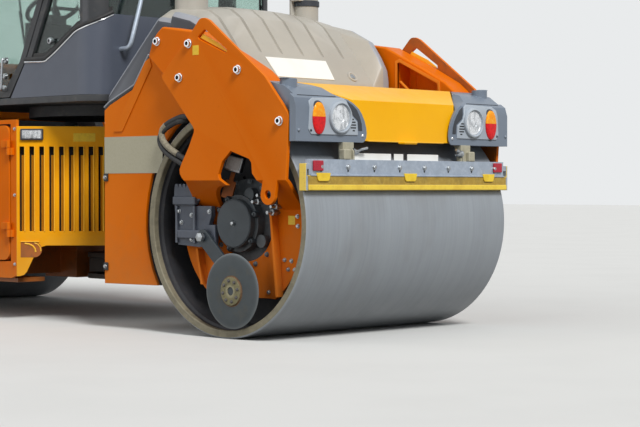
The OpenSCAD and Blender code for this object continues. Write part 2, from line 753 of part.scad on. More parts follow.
// Cab door: a frame with its window cut, its rear edge parallel to the pillar
module cab_door_outline(d) {
    polygon([[cab_front_x + cab_wall + 6 + d, cab_floor + 6 + d], [pillar_x - 162 - d*0.8, cab_floor + 6 + d],
        [pillar_x - 10 - d, sill_z], [pillar_x + 166 - d, knee_z],
        [pillar_x + 208 - d, roof_z - 6 - d],
        [cab_front_x + cab_wall + 6 + d, roof_z - 6 - d]]);
}
module cab_door() {
    color(dark) {
        side_plate(cab_hw - cab_wall + 2, cab_hw) difference() {
            cab_door_outline(0);
            cab_door_outline(50);
        }
        for (z = cab_hinge_z)
            hinge_flap(cab_hinge_x, cab_hinge_y, z, cab_hinge_x - 92, cab_hinge_x - 50, cab_hw);
    }
}
module door_glass() {
    color("#7FA5A0", 0.4) side_plate(cab_hw - pane_y - glass_t, cab_hw - pane_y)
        cab_door_outline(50);
}
module cab_door_right() { cab_door(); }
module cab_door_left() { mirror([0, 1, 0]) cab_door(); }
module door_glass_right() { door_glass(); }
module door_glass_left() { mirror([0, 1, 0]) door_glass(); }

// Edge cutter on the rear drum's left side: holder, swinging arm and disc
tool_u = -215;
tool_z = 525;
disc_u = 83;
disc_z = 252;
disc_y = drum_end + 16;
cutter_y = yoke_in_y + yoke_t + cutter_gap;
module edge_tool_holder() {
    color("#454B57") at_rear() mirror([0, 1, 0]) {
        side_plate(yoke_in_y + yoke_t + 30, yoke_in_y + yoke_t + 60) polygon([
            [-465, 790], [-290, 790], [-314, 745], [-366, 690], [-175, 690], [-175, 640],
            [-195, 590], [-150, 590], [-150, 480], [-270, 470], [-440, 480], [-470, 700]]);
        side_plate(yoke_in_y + yoke_t, yoke_in_y + yoke_t + 30)
            polygon([[-400, 600], [-260, 620], [-260, 500], [-400, 500]]);
        y_cyl(cutter_pin_r, yoke_in_y + yoke_t + 60, cutter_y + cutter_t + 6, tool_u, tool_z);
    }
}
module edge_arm() {
    color("#454B57") at_rear() mirror([0, 1, 0]) {
        difference() {
            side_plate(cutter_y, cutter_y + cutter_t) hull() {
                translate([tool_u, tool_z]) circle(42, $fn = 32);
                translate([disc_u, disc_z]) circle(40, $fn = 32);
            }
            y_cyl(cutter_pin_r + run_gap, cutter_y - eps, cutter_y + cutter_t + eps, tool_u, tool_z);
        }
        y_cyl(spindle_r, cutter_y + cutter_t, disc_y + disc_t + 6, disc_u, disc_z);
    }
}
module cutting_disc() {
    color("#4C5558") at_rear() mirror([0, 1, 0]) difference() {
        union() {
            y_cyl(disc_r, disc_y, disc_y + disc_t, disc_u, disc_z);
            y_cyl(74, disc_y + disc_t, disc_y + disc_t + 10, disc_u, disc_z);
        }
        y_cyl(spindle_r + run_gap, disc_y - eps, disc_y + disc_t + 11, disc_u, disc_z);
    }
}

rear_frame();
rear_side_panels();
rear_arms();
rear_yokes();
rear_drum_mounts();
rear_cover();
rear_lamp_housings();
rear_lamps();
rear_scrapers();
engine_block();
cab_base();
cab_walls();
cab_pillars();
cab_roof();
cab_glass();
seat();
steering_console();
edge_tool_holder();
hood();
hood_stacks();
knuckle();
front_frame();
front_side_panels();
front_grilles();
front_arms();
front_yokes();
front_drum_mounts();
front_cover();
front_lamp_housings();
front_lamps();
front_scrapers();
front_tank();
rear_drum();
front_drum();
cab_door_left();
cab_door_right();
door_glass_left();
door_glass_right();
service_door_left();
service_door_right();
edge_arm();
cutting_disc();
front_body();
rear_hoses();
front_hoses();
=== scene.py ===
"""Looks of a tandem roller with a cab and an edge cutter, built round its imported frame."""

import json
import logging
from dataclasses import dataclass
from enum import Enum
from math import atan2, cos, exp, hypot, pi, radians, sin
from typing import Callable, Iterable, Optional, Sequence

import bmesh
import bpy
from mathutils import Matrix, Vector
from mathutils.geometry import tessellate_polygon

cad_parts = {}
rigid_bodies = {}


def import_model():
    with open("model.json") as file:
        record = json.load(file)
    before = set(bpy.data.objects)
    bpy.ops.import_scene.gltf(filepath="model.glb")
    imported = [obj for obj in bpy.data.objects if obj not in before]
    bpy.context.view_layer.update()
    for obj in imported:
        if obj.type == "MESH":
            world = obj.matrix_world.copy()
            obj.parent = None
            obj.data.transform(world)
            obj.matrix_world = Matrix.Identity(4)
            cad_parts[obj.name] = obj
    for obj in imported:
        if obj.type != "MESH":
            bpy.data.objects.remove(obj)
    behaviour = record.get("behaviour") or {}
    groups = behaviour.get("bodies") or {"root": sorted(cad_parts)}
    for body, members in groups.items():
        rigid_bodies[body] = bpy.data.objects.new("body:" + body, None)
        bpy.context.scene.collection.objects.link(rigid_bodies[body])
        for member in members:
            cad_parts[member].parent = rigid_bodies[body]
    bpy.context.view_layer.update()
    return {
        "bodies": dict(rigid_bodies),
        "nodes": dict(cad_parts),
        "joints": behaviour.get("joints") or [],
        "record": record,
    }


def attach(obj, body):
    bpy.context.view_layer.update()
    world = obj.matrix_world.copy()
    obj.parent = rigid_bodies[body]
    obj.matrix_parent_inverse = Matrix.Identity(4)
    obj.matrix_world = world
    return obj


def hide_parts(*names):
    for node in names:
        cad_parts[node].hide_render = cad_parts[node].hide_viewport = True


log = logging.getLogger("roller")

Form = bmesh.types.BMesh
Point = Sequence[float]
Table = tuple[tuple[float, ...], ...]
Pick = Callable[[Vector, Vector], int]
Tree = bpy.types.NodeTree
Socket = bpy.types.NodeSocket

# Roughness of the octaves in every cloudy pattern
OCTAVES = 0.55
# Settled dust ends raggedly: patches of this size move its edge within this range
RAGGED_MM, RAGGED_M = 60, 0.5
# Smears of this size swing the gloss
SMEAR_MM = 90
# Bend from which an edge starts to wear and lighten and at which it is fully so, and how far it
# lightens: edge wear and a painted highlight along convex edges
EDGE_WEAR_AND_HIGHLIGHT = {"From Min": 0.53, "From Max": 0.62, "To Max": 0.55}
# Smallest angle between two faces that counts as an edge
SHARP = radians(25)
# Radius below which a turned form's ring is one point
ON_AXIS = 1e-6


def linear(code: str) -> tuple[float, float, float, float]:
    """Turns an sRGB hex value to linear RGBA.

    Args:
        code: colour such as "#D96500".

    Returns:
        Red, green, blue and alpha.
    """
    parts = [int(code[i:i + 2], 16) / 255 for i in (1, 3, 5)]
    low = [p / 12.92 if p <= 0.04045 else ((p + 0.055) / 1.055) ** 2.4 for p in parts]
    return (low[0], low[1], low[2], 1.0)


def add_node(tree: Tree, kind: str, settings: Optional[dict] = None,
             links: Optional[dict] = None) -> bpy.types.Node:
    """Adds a node with its settings and links.

    Args:
        tree: node tree that gets the node.
        kind: type of the node.
        settings: values of inputs, by name or index, and of the node's own properties.
        links: output sockets that feed the node's inputs, by name or index.

    Returns:
        The new node.
    """
    node = tree.nodes.new(kind)
    for key, value in (settings or {}).items():
        if isinstance(key, int) or key in node.inputs:
            node.inputs[key].default_value = value
        else:
            setattr(node, key, value)
    for key, socket in (links or {}).items():
        tree.links.new(socket, node.inputs[key])
    return node


@dataclass(frozen=True)
class Tone:
    """A second colour that a surface takes in patches of a real size."""

    color: str
    size_mm: float
    share: float
    low: float = 0.45
    high: float = 0.65
    stretch: tuple[float, float, float] = (1.0, 1.0, 1.0)
    detail: float = 4.0


@dataclass(frozen=True)
class Relief:
    """A fine unevenness of the surface, from grain to hammered sheet."""

    size_mm: float
    height_mm: float
    stretch: tuple[float, float, float] = (1.0, 1.0, 1.0)
    detail: float = 2.0


@dataclass(frozen=True)
class Settled:
    """Dust and tar spray that thins out with height above the ground."""

    color: str
    full_m: float
    none_m: float
    share: float


@dataclass(frozen=True)
class Finish:
    """One surface: what it is made of, how it was made and how it has worn."""

    name: str
    color: str
    roughness: float
    metallic: float = 0.0
    ior: float = 1.5
    coat: float = 0.0
    transmission: float = 0.0
    sheen: float = 0.0
    specular: float = 0.5
    alpha: float = 1.0
    tones: tuple[Tone, ...] = ()
    reliefs: tuple[Relief, ...] = ()
    settled: Optional[Settled] = None
    # Colour of convex edges: edge wear and a painted highlight
    worn_edge: Optional[str] = None
    rough_swing: float = 0.06

    def noise(self, tree: Tree, where: Socket, size_mm: float,
              stretch: tuple[float, float, float], detail: float) -> Socket:
        """Draws a cloudy pattern of a real size.

        Args:
            tree: node tree of the material.
            where: the piece's own coordinates, in metres.
            size_mm: size of one patch.
            stretch: how much longer a patch is along each axis.
            detail: octaves of finer pattern.

        Returns:
            The pattern's value, from 0 to 1.
        """
        spread = add_node(tree, "ShaderNodeMapping",
                          {"Scale": tuple(1 / s for s in stretch)}, {"Vector": where})
        return add_node(tree, "ShaderNodeTexNoise",
                        {"Scale": 1000 / size_mm, "Detail": detail, "Roughness": OCTAVES},
                        {"Vector": spread.outputs[0]}).outputs[0]

    def mixed(self, tree: Tree, factor: Socket,
              under: Optional[Socket], color: str) -> Socket:
        """Lays a colour over the one under it, or over the finish's own.

        Args:
            tree: node tree of the material.
            factor: how much of the colour shows, from 0 to 1.
            under: the colour under it, or None for the finish's own.
            color: hex value of the colour.

        Returns:
            The mixed colour.
        """
        links = {0: factor} if under is None else {0: factor, 6: under}
        return add_node(tree, "ShaderNodeMix", {"data_type": "RGBA", 6: linear(self.color),
                                                7: linear(color)}, links).outputs[2]

    def colored(self, tree: Tree, where: Socket) -> Optional[Socket]:
        """Lays patches, settled dust and lighter edges, which are edge wear and a painted
        highlight, over the finish's own colour.

        Args:
            tree: node tree of the material.
            where: the piece's own coordinates, in metres.

        Returns:
            The colour, or None where the finish has one even colour.
        """
        color = None
        for tone in self.tones:
            patch = self.noise(tree, where, tone.size_mm, tone.stretch, tone.detail)
            factor = add_node(tree, "ShaderNodeMapRange",
                              {"From Min": tone.low, "From Max": tone.high,
                               "To Max": tone.share}, {"Value": patch}).outputs[0]
            color = self.mixed(tree, factor, color, tone.color)
        if self.settled:
            height = add_node(tree, "ShaderNodeSeparateXYZ", {}, {"Vector": where}).outputs[2]
            cloud = self.noise(tree, where, RAGGED_MM, (1, 1, 1), 4)
            ragged = add_node(tree, "ShaderNodeMath", {"operation": "MULTIPLY_ADD", 1: RAGGED_M,
                                                       2: -RAGGED_M / 2}, {0: cloud}).outputs[0]
            level = add_node(tree, "ShaderNodeMath", {"operation": "ADD"},
                             {0: height, 1: ragged}).outputs[0]
            factor = add_node(tree, "ShaderNodeMapRange",
                              {"From Min": self.settled.none_m, "From Max": self.settled.full_m,
                               "To Max": self.settled.share}, {"Value": level}).outputs[0]
            color = self.mixed(tree, factor, color, self.settled.color)
        # Convex edges turn lighter: edge wear and a painted highlight
        if self.worn_edge:
            bend = add_node(tree, "ShaderNodeNewGeometry").outputs["Pointiness"]
            factor = add_node(tree, "ShaderNodeMapRange", EDGE_WEAR_AND_HIGHLIGHT, {"Value": bend}).outputs[0]
            color = self.mixed(tree, factor, color, self.worn_edge)
        return color

    def swung(self, tree: Tree, where: Socket) -> Optional[Socket]:
        """Swings the roughness in smears round its mean.

        Args:
            tree: node tree of the material.
            where: the piece's own coordinates, in metres.

        Returns:
            The roughness, or None where it is even.
        """
        if not self.rough_swing:
            return None
        smear = self.noise(tree, where, SMEAR_MM, (1, 1, 1), 3)
        return add_node(tree, "ShaderNodeMapRange",
                        {"From Min": 0.3, "From Max": 0.7,
                         "To Min": max(self.roughness - self.rough_swing, 0.02),
                         "To Max": min(self.roughness + self.rough_swing, 1.0)},
                        {"Value": smear}).outputs[0]

    def raised(self, tree: Tree, where: Socket) -> Optional[Socket]:
        """Lays the fine unevenness, each layer over the one before.

        Args:
            tree: node tree of the material.
            where: the piece's own coordinates, in metres.

        Returns:
            The normal, or None where the surface is even.
        """
        normal = None
        for relief in self.reliefs:
            height = self.noise(tree, where, relief.size_mm, relief.stretch, relief.detail)
            links = {"Height": height} | ({"Normal": normal} if normal else {})
            normal = add_node(tree, "ShaderNodeBump",
                              {"Distance": relief.height_mm / 1000, "Strength": 1.0},
                              links).outputs[0]
        return normal

    def material(self) -> bpy.types.Material:
        """Makes the material once and gives the same one from then on.

        Returns:
            The material.
        """
        if self.name in bpy.data.materials:
            return bpy.data.materials[self.name]
        made = bpy.data.materials.new(self.name)
        made.use_nodes = True
        made.diffuse_color = linear(self.color)
        tree = made.node_tree
        tree.nodes.clear()
        out = add_node(tree, "ShaderNodeOutputMaterial")
        shader = add_node(tree, "ShaderNodeBsdfPrincipled", {
            "Base Color": linear(self.color), "Roughness": self.roughness,
            "Metallic": self.metallic, "IOR": self.ior, "Coat Weight": self.coat,
            "Coat Roughness": 0.08, "Transmission Weight": self.transmission,
            "Sheen Weight": self.sheen, "Alpha": self.alpha,
            "Specular IOR Level": self.specular})
        tree.links.new(shader.outputs[0], out.inputs[0])
        where = add_node(tree, "ShaderNodeTexCoord").outputs["Object"]
        for name, socket in (("Base Color", self.colored(tree, where)),
                             ("Roughness", self.swung(tree, where)),
                             ("Normal", self.raised(tree, where))):
            if socket:
                tree.links.new(socket, shader.inputs[name])
        return made


# Orange-peel of sprayed paint is 2 mm wide, too fine to show, so it is drawn at 6 mm
PEEL = Relief(6, 0.05)
# Dust bound with tar spray, up to knee height: warm brown
TAR_DUST = Settled("#8C7050", 0.05, 0.6, 0.35)

# Steel sheet, shot-blasted and powder-coated orange: gloss with a slight orange-peel,
# and a little sun-bleached patchiness
ORANGE = Finish("powder_coated_steel_orange", "#DE6B00", 0.42, specular=0.07,
                tones=(Tone("#CE6000", 420, 0.35), Tone("#B05000", 26, 0.12, 0.6, 0.75)),
                reliefs=(PEEL,), settled=TAR_DUST, worn_edge="#F29A3A")
# The same orange coat drawn darker and browner as painted shade, for faces that lie in shade
# inside the machine; tar dust settles on it as on the rest
ORANGE_PAINTED_SHADE = Finish("powder_coated_steel_orange_inner", "#AC5802", 0.5,
                      tones=(Tone("#7C4A1C", 120, 0.55), Tone("#5C4330", 30, 0.35, 0.55, 0.7)),
                      reliefs=(PEEL,), settled=TAR_DUST)
# Steel sheet powder-coated amber: the machine's brighter second colour
AMBER = Finish("powder_coated_steel_amber", "#FDB800", 0.38, specular=0.2,
               tones=(Tone("#F2A800", 380, 0.4),), reliefs=(PEEL,), settled=TAR_DUST,
               worn_edge="#FFD76B")
# Grille panel: the amber coat drawn a little deeper, with deeper patches
AMBER_DEEP = Finish("powder_coated_steel_amber_grille", "#FBAC00", 0.4, specular=0.18,
                    tones=(Tone("#E08E00", 240, 0.5),), reliefs=(PEEL,), settled=TAR_DUST,
                    worn_edge="#FFC94A")
# Cab sheet wet-painted slate: satin, with a bluish depth
SLATE = Finish("wet_painted_steel_slate", "#4F5562", 0.36, coat=0.05,
               tones=(Tone("#434956", 500, 0.5),), reliefs=(PEEL,), worn_edge="#8A909B")
# Frame steel in black chassis enamel: semi-matt, grey where dust sits on it
CHASSIS = Finish("chassis_enamel_black", "#2A2C2F", 0.55,
                 tones=(Tone("#3B3B3A", 160, 0.6), Tone("#5B554C", 40, 0.25, 0.55, 0.7)),
                 reliefs=(Relief(8, 0.12),), settled=Settled("#6C6155", 0.15, 0.9, 0.5),
                 worn_edge="#55565A")
# Grey iron sand-cast and painted: the sand leaves a coarse pebbled skin
CAST = Finish("sand_cast_iron_painted_grey", "#454D53", 0.6,
              tones=(Tone("#2F3438", 45, 0.6), Tone("#6C665C", 22, 0.35, 0.56, 0.72)),
              reliefs=(Relief(7, 0.5, detail=4),), settled=Settled("#6C6155", 0.2, 0.8, 0.3),
              worn_edge="#7B858B")
# Motor cover in cast aluminium painted dark slate: smoother than the casting round it
MOTOR = Finish("painted_cast_aluminium_dark_slate", "#2E373D", 0.45,
               tones=(Tone("#262E33", 90, 0.5), Tone("#5B564E", 20, 0.15, 0.6, 0.75)),
               reliefs=(Relief(6, 0.12),))
# Tool steel parts painted blue-grey: satin, chipped at the edges
TOOL = Finish("painted_tool_steel_blue_grey", "#474E5B", 0.48,
              tones=(Tone("#363B45", 60, 0.5), Tone("#77695A", 16, 0.2, 0.6, 0.75)),
              reliefs=(Relief(6, 0.15),), worn_edge="#8D94A0")
# Scraper beam in hot-dip galvanised steel: pale and matt with zinc spangle
GALVANISED = Finish("hot_dip_galvanised_steel", "#A4AFBD", 0.42, metallic=0.3,
                    tones=(Tone("#BBC4CF", 18, 0.4, detail=1), Tone("#8B95A2", 70, 0.35)),
                    reliefs=(Relief(10, 0.06),))
# Scraper tray in yellow enamel: bright where it is wiped, dusty in patches
TRAY = Finish("enamelled_steel_yellow", "#F6D23C", 0.4, specular=0.35,
              tones=(Tone("#D9AE2B", 90, 0.5), Tone("#9C8440", 14, 0.3, 0.58, 0.7)),
              reliefs=(PEEL,), worn_edge="#F7E38C")
# The same enamel on the tray's web, drawn dull ochre as painted shade in its recess
TRAY_PAINTED_SHADE = Finish("enamelled_steel_yellow_dusty", "#AA8B36", 0.6,
                    tones=(Tone("#8B7434", 70, 0.6), Tone("#C7AC55", 20, 0.4)),
                    reliefs=(PEEL,))
# Bracket castings in beige primer: dull and grainy
PRIMED = Finish("primed_casting_beige", "#A9A48D", 0.62,
                tones=(Tone("#8B8671", 30, 0.5),), reliefs=(Relief(6, 0.25),),
                worn_edge="#C9C5B4")
# Rolled steel polished by its work under a thin film of mineral dust: even grey, half
# metallic, with fine scores round the drum
DRUM_STEEL = Finish("rolled_steel_drum_polished_by_asphalt", "#9AA0A6", 0.4, metallic=0.3,
                    tones=(Tone("#8A9097", 14, 0.3, 0.42, 0.62, (60, 1, 60), 2),
                           Tone("#A6ABB0", 70, 0.2, 0.5, 0.7, (40, 1, 40), 2),
                           Tone("#75736D", 260, 0.25, 0.5, 0.72, (2, 1, 2))),
                    reliefs=(Relief(8, 0.03, (60, 1, 60)),), rough_swing=0.08)
# The drum's rim, bare steel with tar film and sand: khaki and dull
RIM = Finish("tar_filmed_steel_khaki", "#807A66", 0.6, metallic=0.2,
             tones=(Tone("#5E5848", 60, 0.5), Tone("#9C937A", 22, 0.3, 0.52, 0.68)),
             reliefs=(Relief(9, 0.3, detail=4),))
# Inside of the drum: mill scale under grease and dust, nearly black
MILL_SCALE = Finish("mill_scale_steel_greased", "#25262A", 0.7,
                    tones=(Tone("#1A1B1E", 150, 0.7), Tone("#3E3A34", 35, 0.3, 0.54, 0.7)),
                    reliefs=(Relief(12, 0.4, detail=4),))
# Hardened steel disc, ground and then browned by heat and bitumen: dark, bright at its rim
DISC = Finish("ground_steel_disc", "#3E4548", 0.45, metallic=0.3,
              tones=(Tone("#363D40", 60, 0.5), Tone("#57503F", 90, 0.4, 0.55, 0.72)),
              reliefs=(Relief(5, 0.1),), worn_edge="#9AA0A2")
# The disc's steel round the hub, never ground bright again: rough brown rust
RUST = Finish("rusted_steel_halo", "#6A5138", 0.75,
              tones=(Tone("#49382A", 18, 0.6), Tone("#8E6E48", 9, 0.4, 0.55, 0.7)),
              reliefs=(Relief(4, 0.2, detail=4),))
# Hub turned from mild steel, under oil and dust: khaki with bright corners
HUB = Finish("machined_hub_khaki", "#76704F", 0.5, metallic=0.3,
             tones=(Tone("#4A4636", 14, 0.5),), reliefs=(Relief(4, 0.1),), worn_edge="#C5BFA2")
# Hood top moulded in glass-fibre reinforced plastic: warm light grey, satin, faintly wavy
HOOD_TOP = Finish("moulded_glass_fibre_plastic_light", "#B0ABA0", 0.42,
                  tones=(Tone("#A19C92", 480, 0.6), Tone("#8F8A80", 60, 0.12, 0.6, 0.75)),
                  reliefs=(Relief(180, 0.5), Relief(5, 0.05)), worn_edge="#D5D1C8")
# The hood's side in the same moulded plastic, drawn dark slate as painted shade, with a painted
# highlight on its edge
HOOD_PAINTED_SHADE = Finish("moulded_glass_fibre_plastic_slate", "#393C44", 0.44,
                   tones=(Tone("#2F3138", 420, 0.6),), reliefs=(Relief(5, 0.06),),
                   worn_edge="#A4A8B0")
# Rounded edge of the hood in the same plastic, drawn lighter as a painted highlight
HOOD_PAINTED_HIGHLIGHT = Finish("moulded_glass_fibre_plastic_bleached", "#9A9DA3", 0.42,
                   tones=(Tone("#8C8F96", 300, 0.5),), reliefs=(Relief(5, 0.06),))
# Lamp housings injection-moulded in ABS: blue-grey with a soft sheen
ABS = Finish("injection_moulded_abs_blue_grey", "#727D8B", 0.34,
             tones=(Tone("#687381", 260, 0.5),), reliefs=(Relief(5, 0.04),), worn_edge="#A9B2BC")
# The field round the lamps in the same plastic, bleached and wiped paler
ABS_PALE = Finish("injection_moulded_abs_bleached", "#AAB3BC", 0.36,
                  tones=(Tone("#98A2AC", 120, 0.5),), reliefs=(Relief(5, 0.04),),
                  worn_edge="#C3CAD1")
# The same plastic in black on small lamp shells and mirrors: matt
ABS_DARK = Finish("injection_moulded_abs_dark", "#30343B", 0.5,
                  tones=(Tone("#24272C", 60, 0.5),), reliefs=(Relief(5, 0.08),))
# Cab roof in vacuum-formed ABS: off-white and even
ROOF = Finish("vacuum_formed_abs_off_white", "#D3D3CC", 0.5, specular=0.25,
              tones=(Tone("#C5C4BB", 600, 0.6),), reliefs=(Relief(5, 0.05),))
# Moulded polypropylene of the console and seat shell: black with a leather grain
INTERIOR = Finish("moulded_polypropylene_black", "#202225", 0.6,
                  tones=(Tone("#2C2E32", 50, 0.5),), reliefs=(Relief(6, 0.25, detail=3),))
# Hose outer cover in extruded nitrile rubber: matt black
RUBBER = Finish("extruded_nitrile_rubber", "#1B1C1E", 0.62,
                tones=(Tone("#3A3733", 40, 0.4),), reliefs=(Relief(5, 0.1),))
# Braided sleeve over the hoses: dusty woven nylon
SLEEVE = Finish("braided_nylon_sleeve_dusty", "#8F8773", 0.8, sheen=0.2,
                tones=(Tone("#5E5748", 12, 0.6),), reliefs=(Relief(4, 0.4),))
# Toughened safety glass: slightly green, with faint clouds where dust was wiped
GLASS = Finish("toughened_safety_glass", "#CFE0DA", 0.04, ior=1.45, transmission=1.0,
               tones=(Tone("#BFD3CB", 340, 0.5),), rough_swing=0.02)
# Clear lens injection-moulded in polycarbonate: glossy, faintly clouded
LENS_CLEAR = Finish("moulded_polycarbonate_clear", "#FFFFFF", 0.05, ior=1.4, alpha=0.2,
                    tones=(Tone("#DDE3E6", 14, 0.6),), rough_swing=0.03)
# Ribbed polycarbonate of the edge lamp, milky with dust
FROSTED = Finish("ribbed_polycarbonate_dusty", "#E9E6E2", 0.3,
                 tones=(Tone("#CFC8C4", 14, 0.5, detail=1),),
                 reliefs=(Relief(8, 1.0, (1, 1, 4), 0),))
# Marker lens injection-moulded in amber acrylic: glossy over small prisms
LENS_AMBER = Finish("moulded_acrylic_amber", "#FF9C00", 0.15, specular=0.3,
                    tones=(Tone("#FFC23A", 12, 0.5, detail=0),),
                    reliefs=(Relief(9, 0.5, detail=0),), rough_swing=0.0)
# The same acrylic in red: deep and glossy
LENS_RED = Finish("moulded_acrylic_red", "#E40F16", 0.15, specular=0.3,
                  tones=(Tone("#BC0A12", 12, 0.5, detail=0),),
                  reliefs=(Relief(9, 0.5, detail=0),), rough_swing=0.0)
# Reflex reflector moulded in red acrylic with prisms behind: grainy, less glossy
REFLEX = Finish("moulded_reflex_reflector_red", "#B82036", 0.3, specular=0.4,
                tones=(Tone("#8C1A2B", 6, 0.5, detail=0),),
                reliefs=(Relief(5, 0.4, detail=0),), rough_swing=0.0)
# Lamp reflector, vacuum-metallised: a mirror broken into flutes
MIRROR = Finish("vacuum_metallised_reflector", "#EDF0F3", 0.3, metallic=0.45,
                tones=(Tone("#7D868E", 17, 0.75, 0.5, 0.62, (1, 1, 2.5), 1),),
                reliefs=(Relief(14, 1.2, (1, 1, 3), 0),))
# Mirror glass, silvered at its back: an even reflection
GLAZED = Finish("silvered_mirror_glass", "#C9CDD1", 0.05, metallic=1.0,
                tones=(Tone("#BFC4C9", 200, 0.3),), rough_swing=0.0)
# Screw heads and trims in chrome plate: clean mirror-grey against the paint
CHROME = Finish("chrome_plated_steel", "#DADCDF", 0.16, metallic=1.0,
                tones=(Tone("#9DA0A4", 8, 0.4),))
# Fasteners, bars and hinge pins in bright zinc plate: pale grey, softer than chrome
ZINC = Finish("zinc_plated_steel", "#A9ADB0", 0.34, metallic=0.9,
              tones=(Tone("#7C7F80", 12, 0.6),), reliefs=(Relief(4, 0.08),))
# Retroreflective tape: beaded film that reads as flat pale beige by day
TAPE = Finish("retroreflective_tape", "#AEA991", 0.5,
              tones=(Tone("#A49F87", 12, 0.4, detail=1),), reliefs=(Relief(5, 0.08, detail=1),))
# Blank plate in white gloss film
PLATE = Finish("white_vinyl_film", "#F1F0EA", 0.35, tones=(Tone("#E4E1D6", 200, 0.5),))
# Blank label in yellow film: flat, faded in specks
LABEL = Finish("yellow_vinyl_film", "#F2C614", 0.4, tones=(Tone("#D9A90C", 18, 0.4),))
# Seat cover woven in polyester: matt charcoal with a soft sheen at grazing angles
WEAVE = Finish("woven_polyester_charcoal", "#2E3036", 0.85, sheen=0.35,
               tones=(Tone("#44474E", 5, 0.6, detail=0), Tone("#25272B", 40, 0.4)),
               reliefs=(Relief(5, 0.5, detail=0),))
# Near-black: painted shade in hollows behind grilles, sockets and slits, and the dark of seams
HOLLOW = Finish("shaded_steel_black", "#141516", 0.8, tones=(Tone("#1F1D1B", 40, 0.5),))


MIRROR_Y = Matrix.Diagonal((1, -1, 1, 1))
SIDES = (Matrix(), MIRROR_Y)
# Swaps x and y, for a plate that stands across the machine
CROSSWISE = Matrix(((0, 1, 0, 0), (1, 0, 0, 0), (0, 0, 1, 0), (0, 0, 0, 1)))


class End(Enum):
    """The two carriages, each with the frame its outlines are drawn in."""

    REAR = "rear"
    FRONT = "front"

    @property
    def carriage(self) -> str:
        """Body that the carriage's pieces ride on."""
        return f"{self.value}_carriage"

    @property
    def place(self) -> Matrix:
        """Frame of the carriage's axle: u points outwards, and the front's is turned."""
        axle = Matrix.Translation((1.86, 0, 0))
        return axle if self is End.REAR else Matrix.Rotation(pi, 4, "Z") @ axle

    @property
    def both(self) -> list[Matrix]:
        """The axle's frame and its mirror image, one for each side of the machine."""
        return [self.place @ side for side in SIDES]


class Side(Enum):
    """The machine's sides, each with its sign along y."""

    LEFT = -1
    RIGHT = 1

    @property
    def word(self) -> str:
        """The side as it stands in the names of pieces."""
        return self.name.lower()


class Cut(Enum):
    """What cutters do to a form."""

    TAKE = "DIFFERENCE"
    JOIN = "UNION"


def soften(form: Form, edge: float, segments: int = 2, clamp: bool = True) -> Form:
    """Rounds the sharp edges of a form.

    Args:
        form: closed form.
        edge: width of the rounding in metres.
        segments: facets of the rounding.
        clamp: whether the rounding stops where it would meet itself.

    Returns:
        The same form.
    """
    if edge > 0:
        sharp = [e for e in form.edges if len(e.link_faces) == 2 and e.calc_face_angle(0) > SHARP]
        bmesh.ops.bevel(form, geom=sharp, offset=edge, offset_type="OFFSET", segments=segments,
                        profile=0.5, affect="EDGES", clamp_overlap=clamp)
    return form


def placed(form: Form, place: Matrix) -> Form:
    """Moves a form by a matrix, which may mirror it, and keeps its faces outwards.

    Args:
        form: closed form.
        place: the matrix.

    Returns:
        The same form.
    """
    form.transform(place)
    bmesh.ops.recalc_face_normals(form, faces=form.faces)
    return form


def moved(form: Form, *offset: float) -> Form:
    """Moves a form and returns it."""
    form.transform(Matrix.Translation(offset))
    return form


def turned(form: Form, axis: Point) -> Form:
    """Points a turned form's axis, which is +Y, along another direction."""
    form.transform(Vector((0, 1, 0)).rotation_difference(Vector(axis)).to_matrix().to_4x4())
    return form


def block(one: Point, other: Point, edge: float = 0.002, segments: int = 2) -> Form:
    """A box between two corners with rounded edges.

    Args:
        one: a corner.
        other: the corner across from it.
        edge: width of the rounding, if the box is thick enough.
        segments: facets of the rounding.

    Returns:
        The closed form.
    """
    form = bmesh.new()
    bmesh.ops.create_cube(form, size=1.0)
    size = [abs(b - a) for a, b in zip(one, other)]
    middle = [(a + b) / 2 for a, b in zip(one, other)]
    form.transform(Matrix.Translation(middle) @ Matrix.Diagonal((*size, 1)))
    return soften(form, min(edge, min(size) * 0.45), segments)


def skinned(rings: Iterable[Iterable[Point]]) -> Form:
    """A form through sections, closed at both ends.

    Args:
        rings: corners of each section, the same number in each.

    Returns:
        The closed form.
    """
    form = bmesh.new()
    made = [[form.verts.new(p) for p in ring] for ring in rings]
    for one, two in zip(made, made[1:]):
        for k, vert in enumerate(one):
            form.faces.new((one[k - 1], vert, two[k], two[k - 1]))
    form.faces.new(made[0])
    form.faces.new(made[-1])
    bmesh.ops.recalc_face_normals(form, faces=form.faces)
    return form


def plate(outline: Sequence[Point], near: float, far: float, edge: float = 0.002,
          holes: Iterable[Sequence[Point]] = ()) -> Form:
    """A plate drawn in u and z that stands between two distances from the middle.

    Args:
        outline: corners in order.
        near: distance of one face.
        far: distance of the other face.
        edge: rounding of its edges.
        holes: corners of each hole.

    Returns:
        The closed form.
    """
    form = bmesh.new()
    rings = [outline, *holes]
    layers = [[[form.verts.new((p[0], w, p[1])) for p in ring] for ring in rings]
              for w in (near, far)]
    if len(rings) == 1:
        for layer in layers:
            form.faces.new(layer[0])
    else:
        triangles = tessellate_polygon([[Vector((*p[:2], 0)) for p in r] for r in rings])
        for layer in layers:
            verts = [v for ring in layer for v in ring]
            for tri in triangles:
                form.faces.new([verts[i] for i in tri])
    for one, two in zip(*layers):
        for k, vert in enumerate(one):
            form.faces.new((one[k - 1], vert, two[k], two[k - 1]))
    bmesh.ops.recalc_face_normals(form, faces=form.faces)
    return soften(form, edge, clamp=len(rings) == 1)


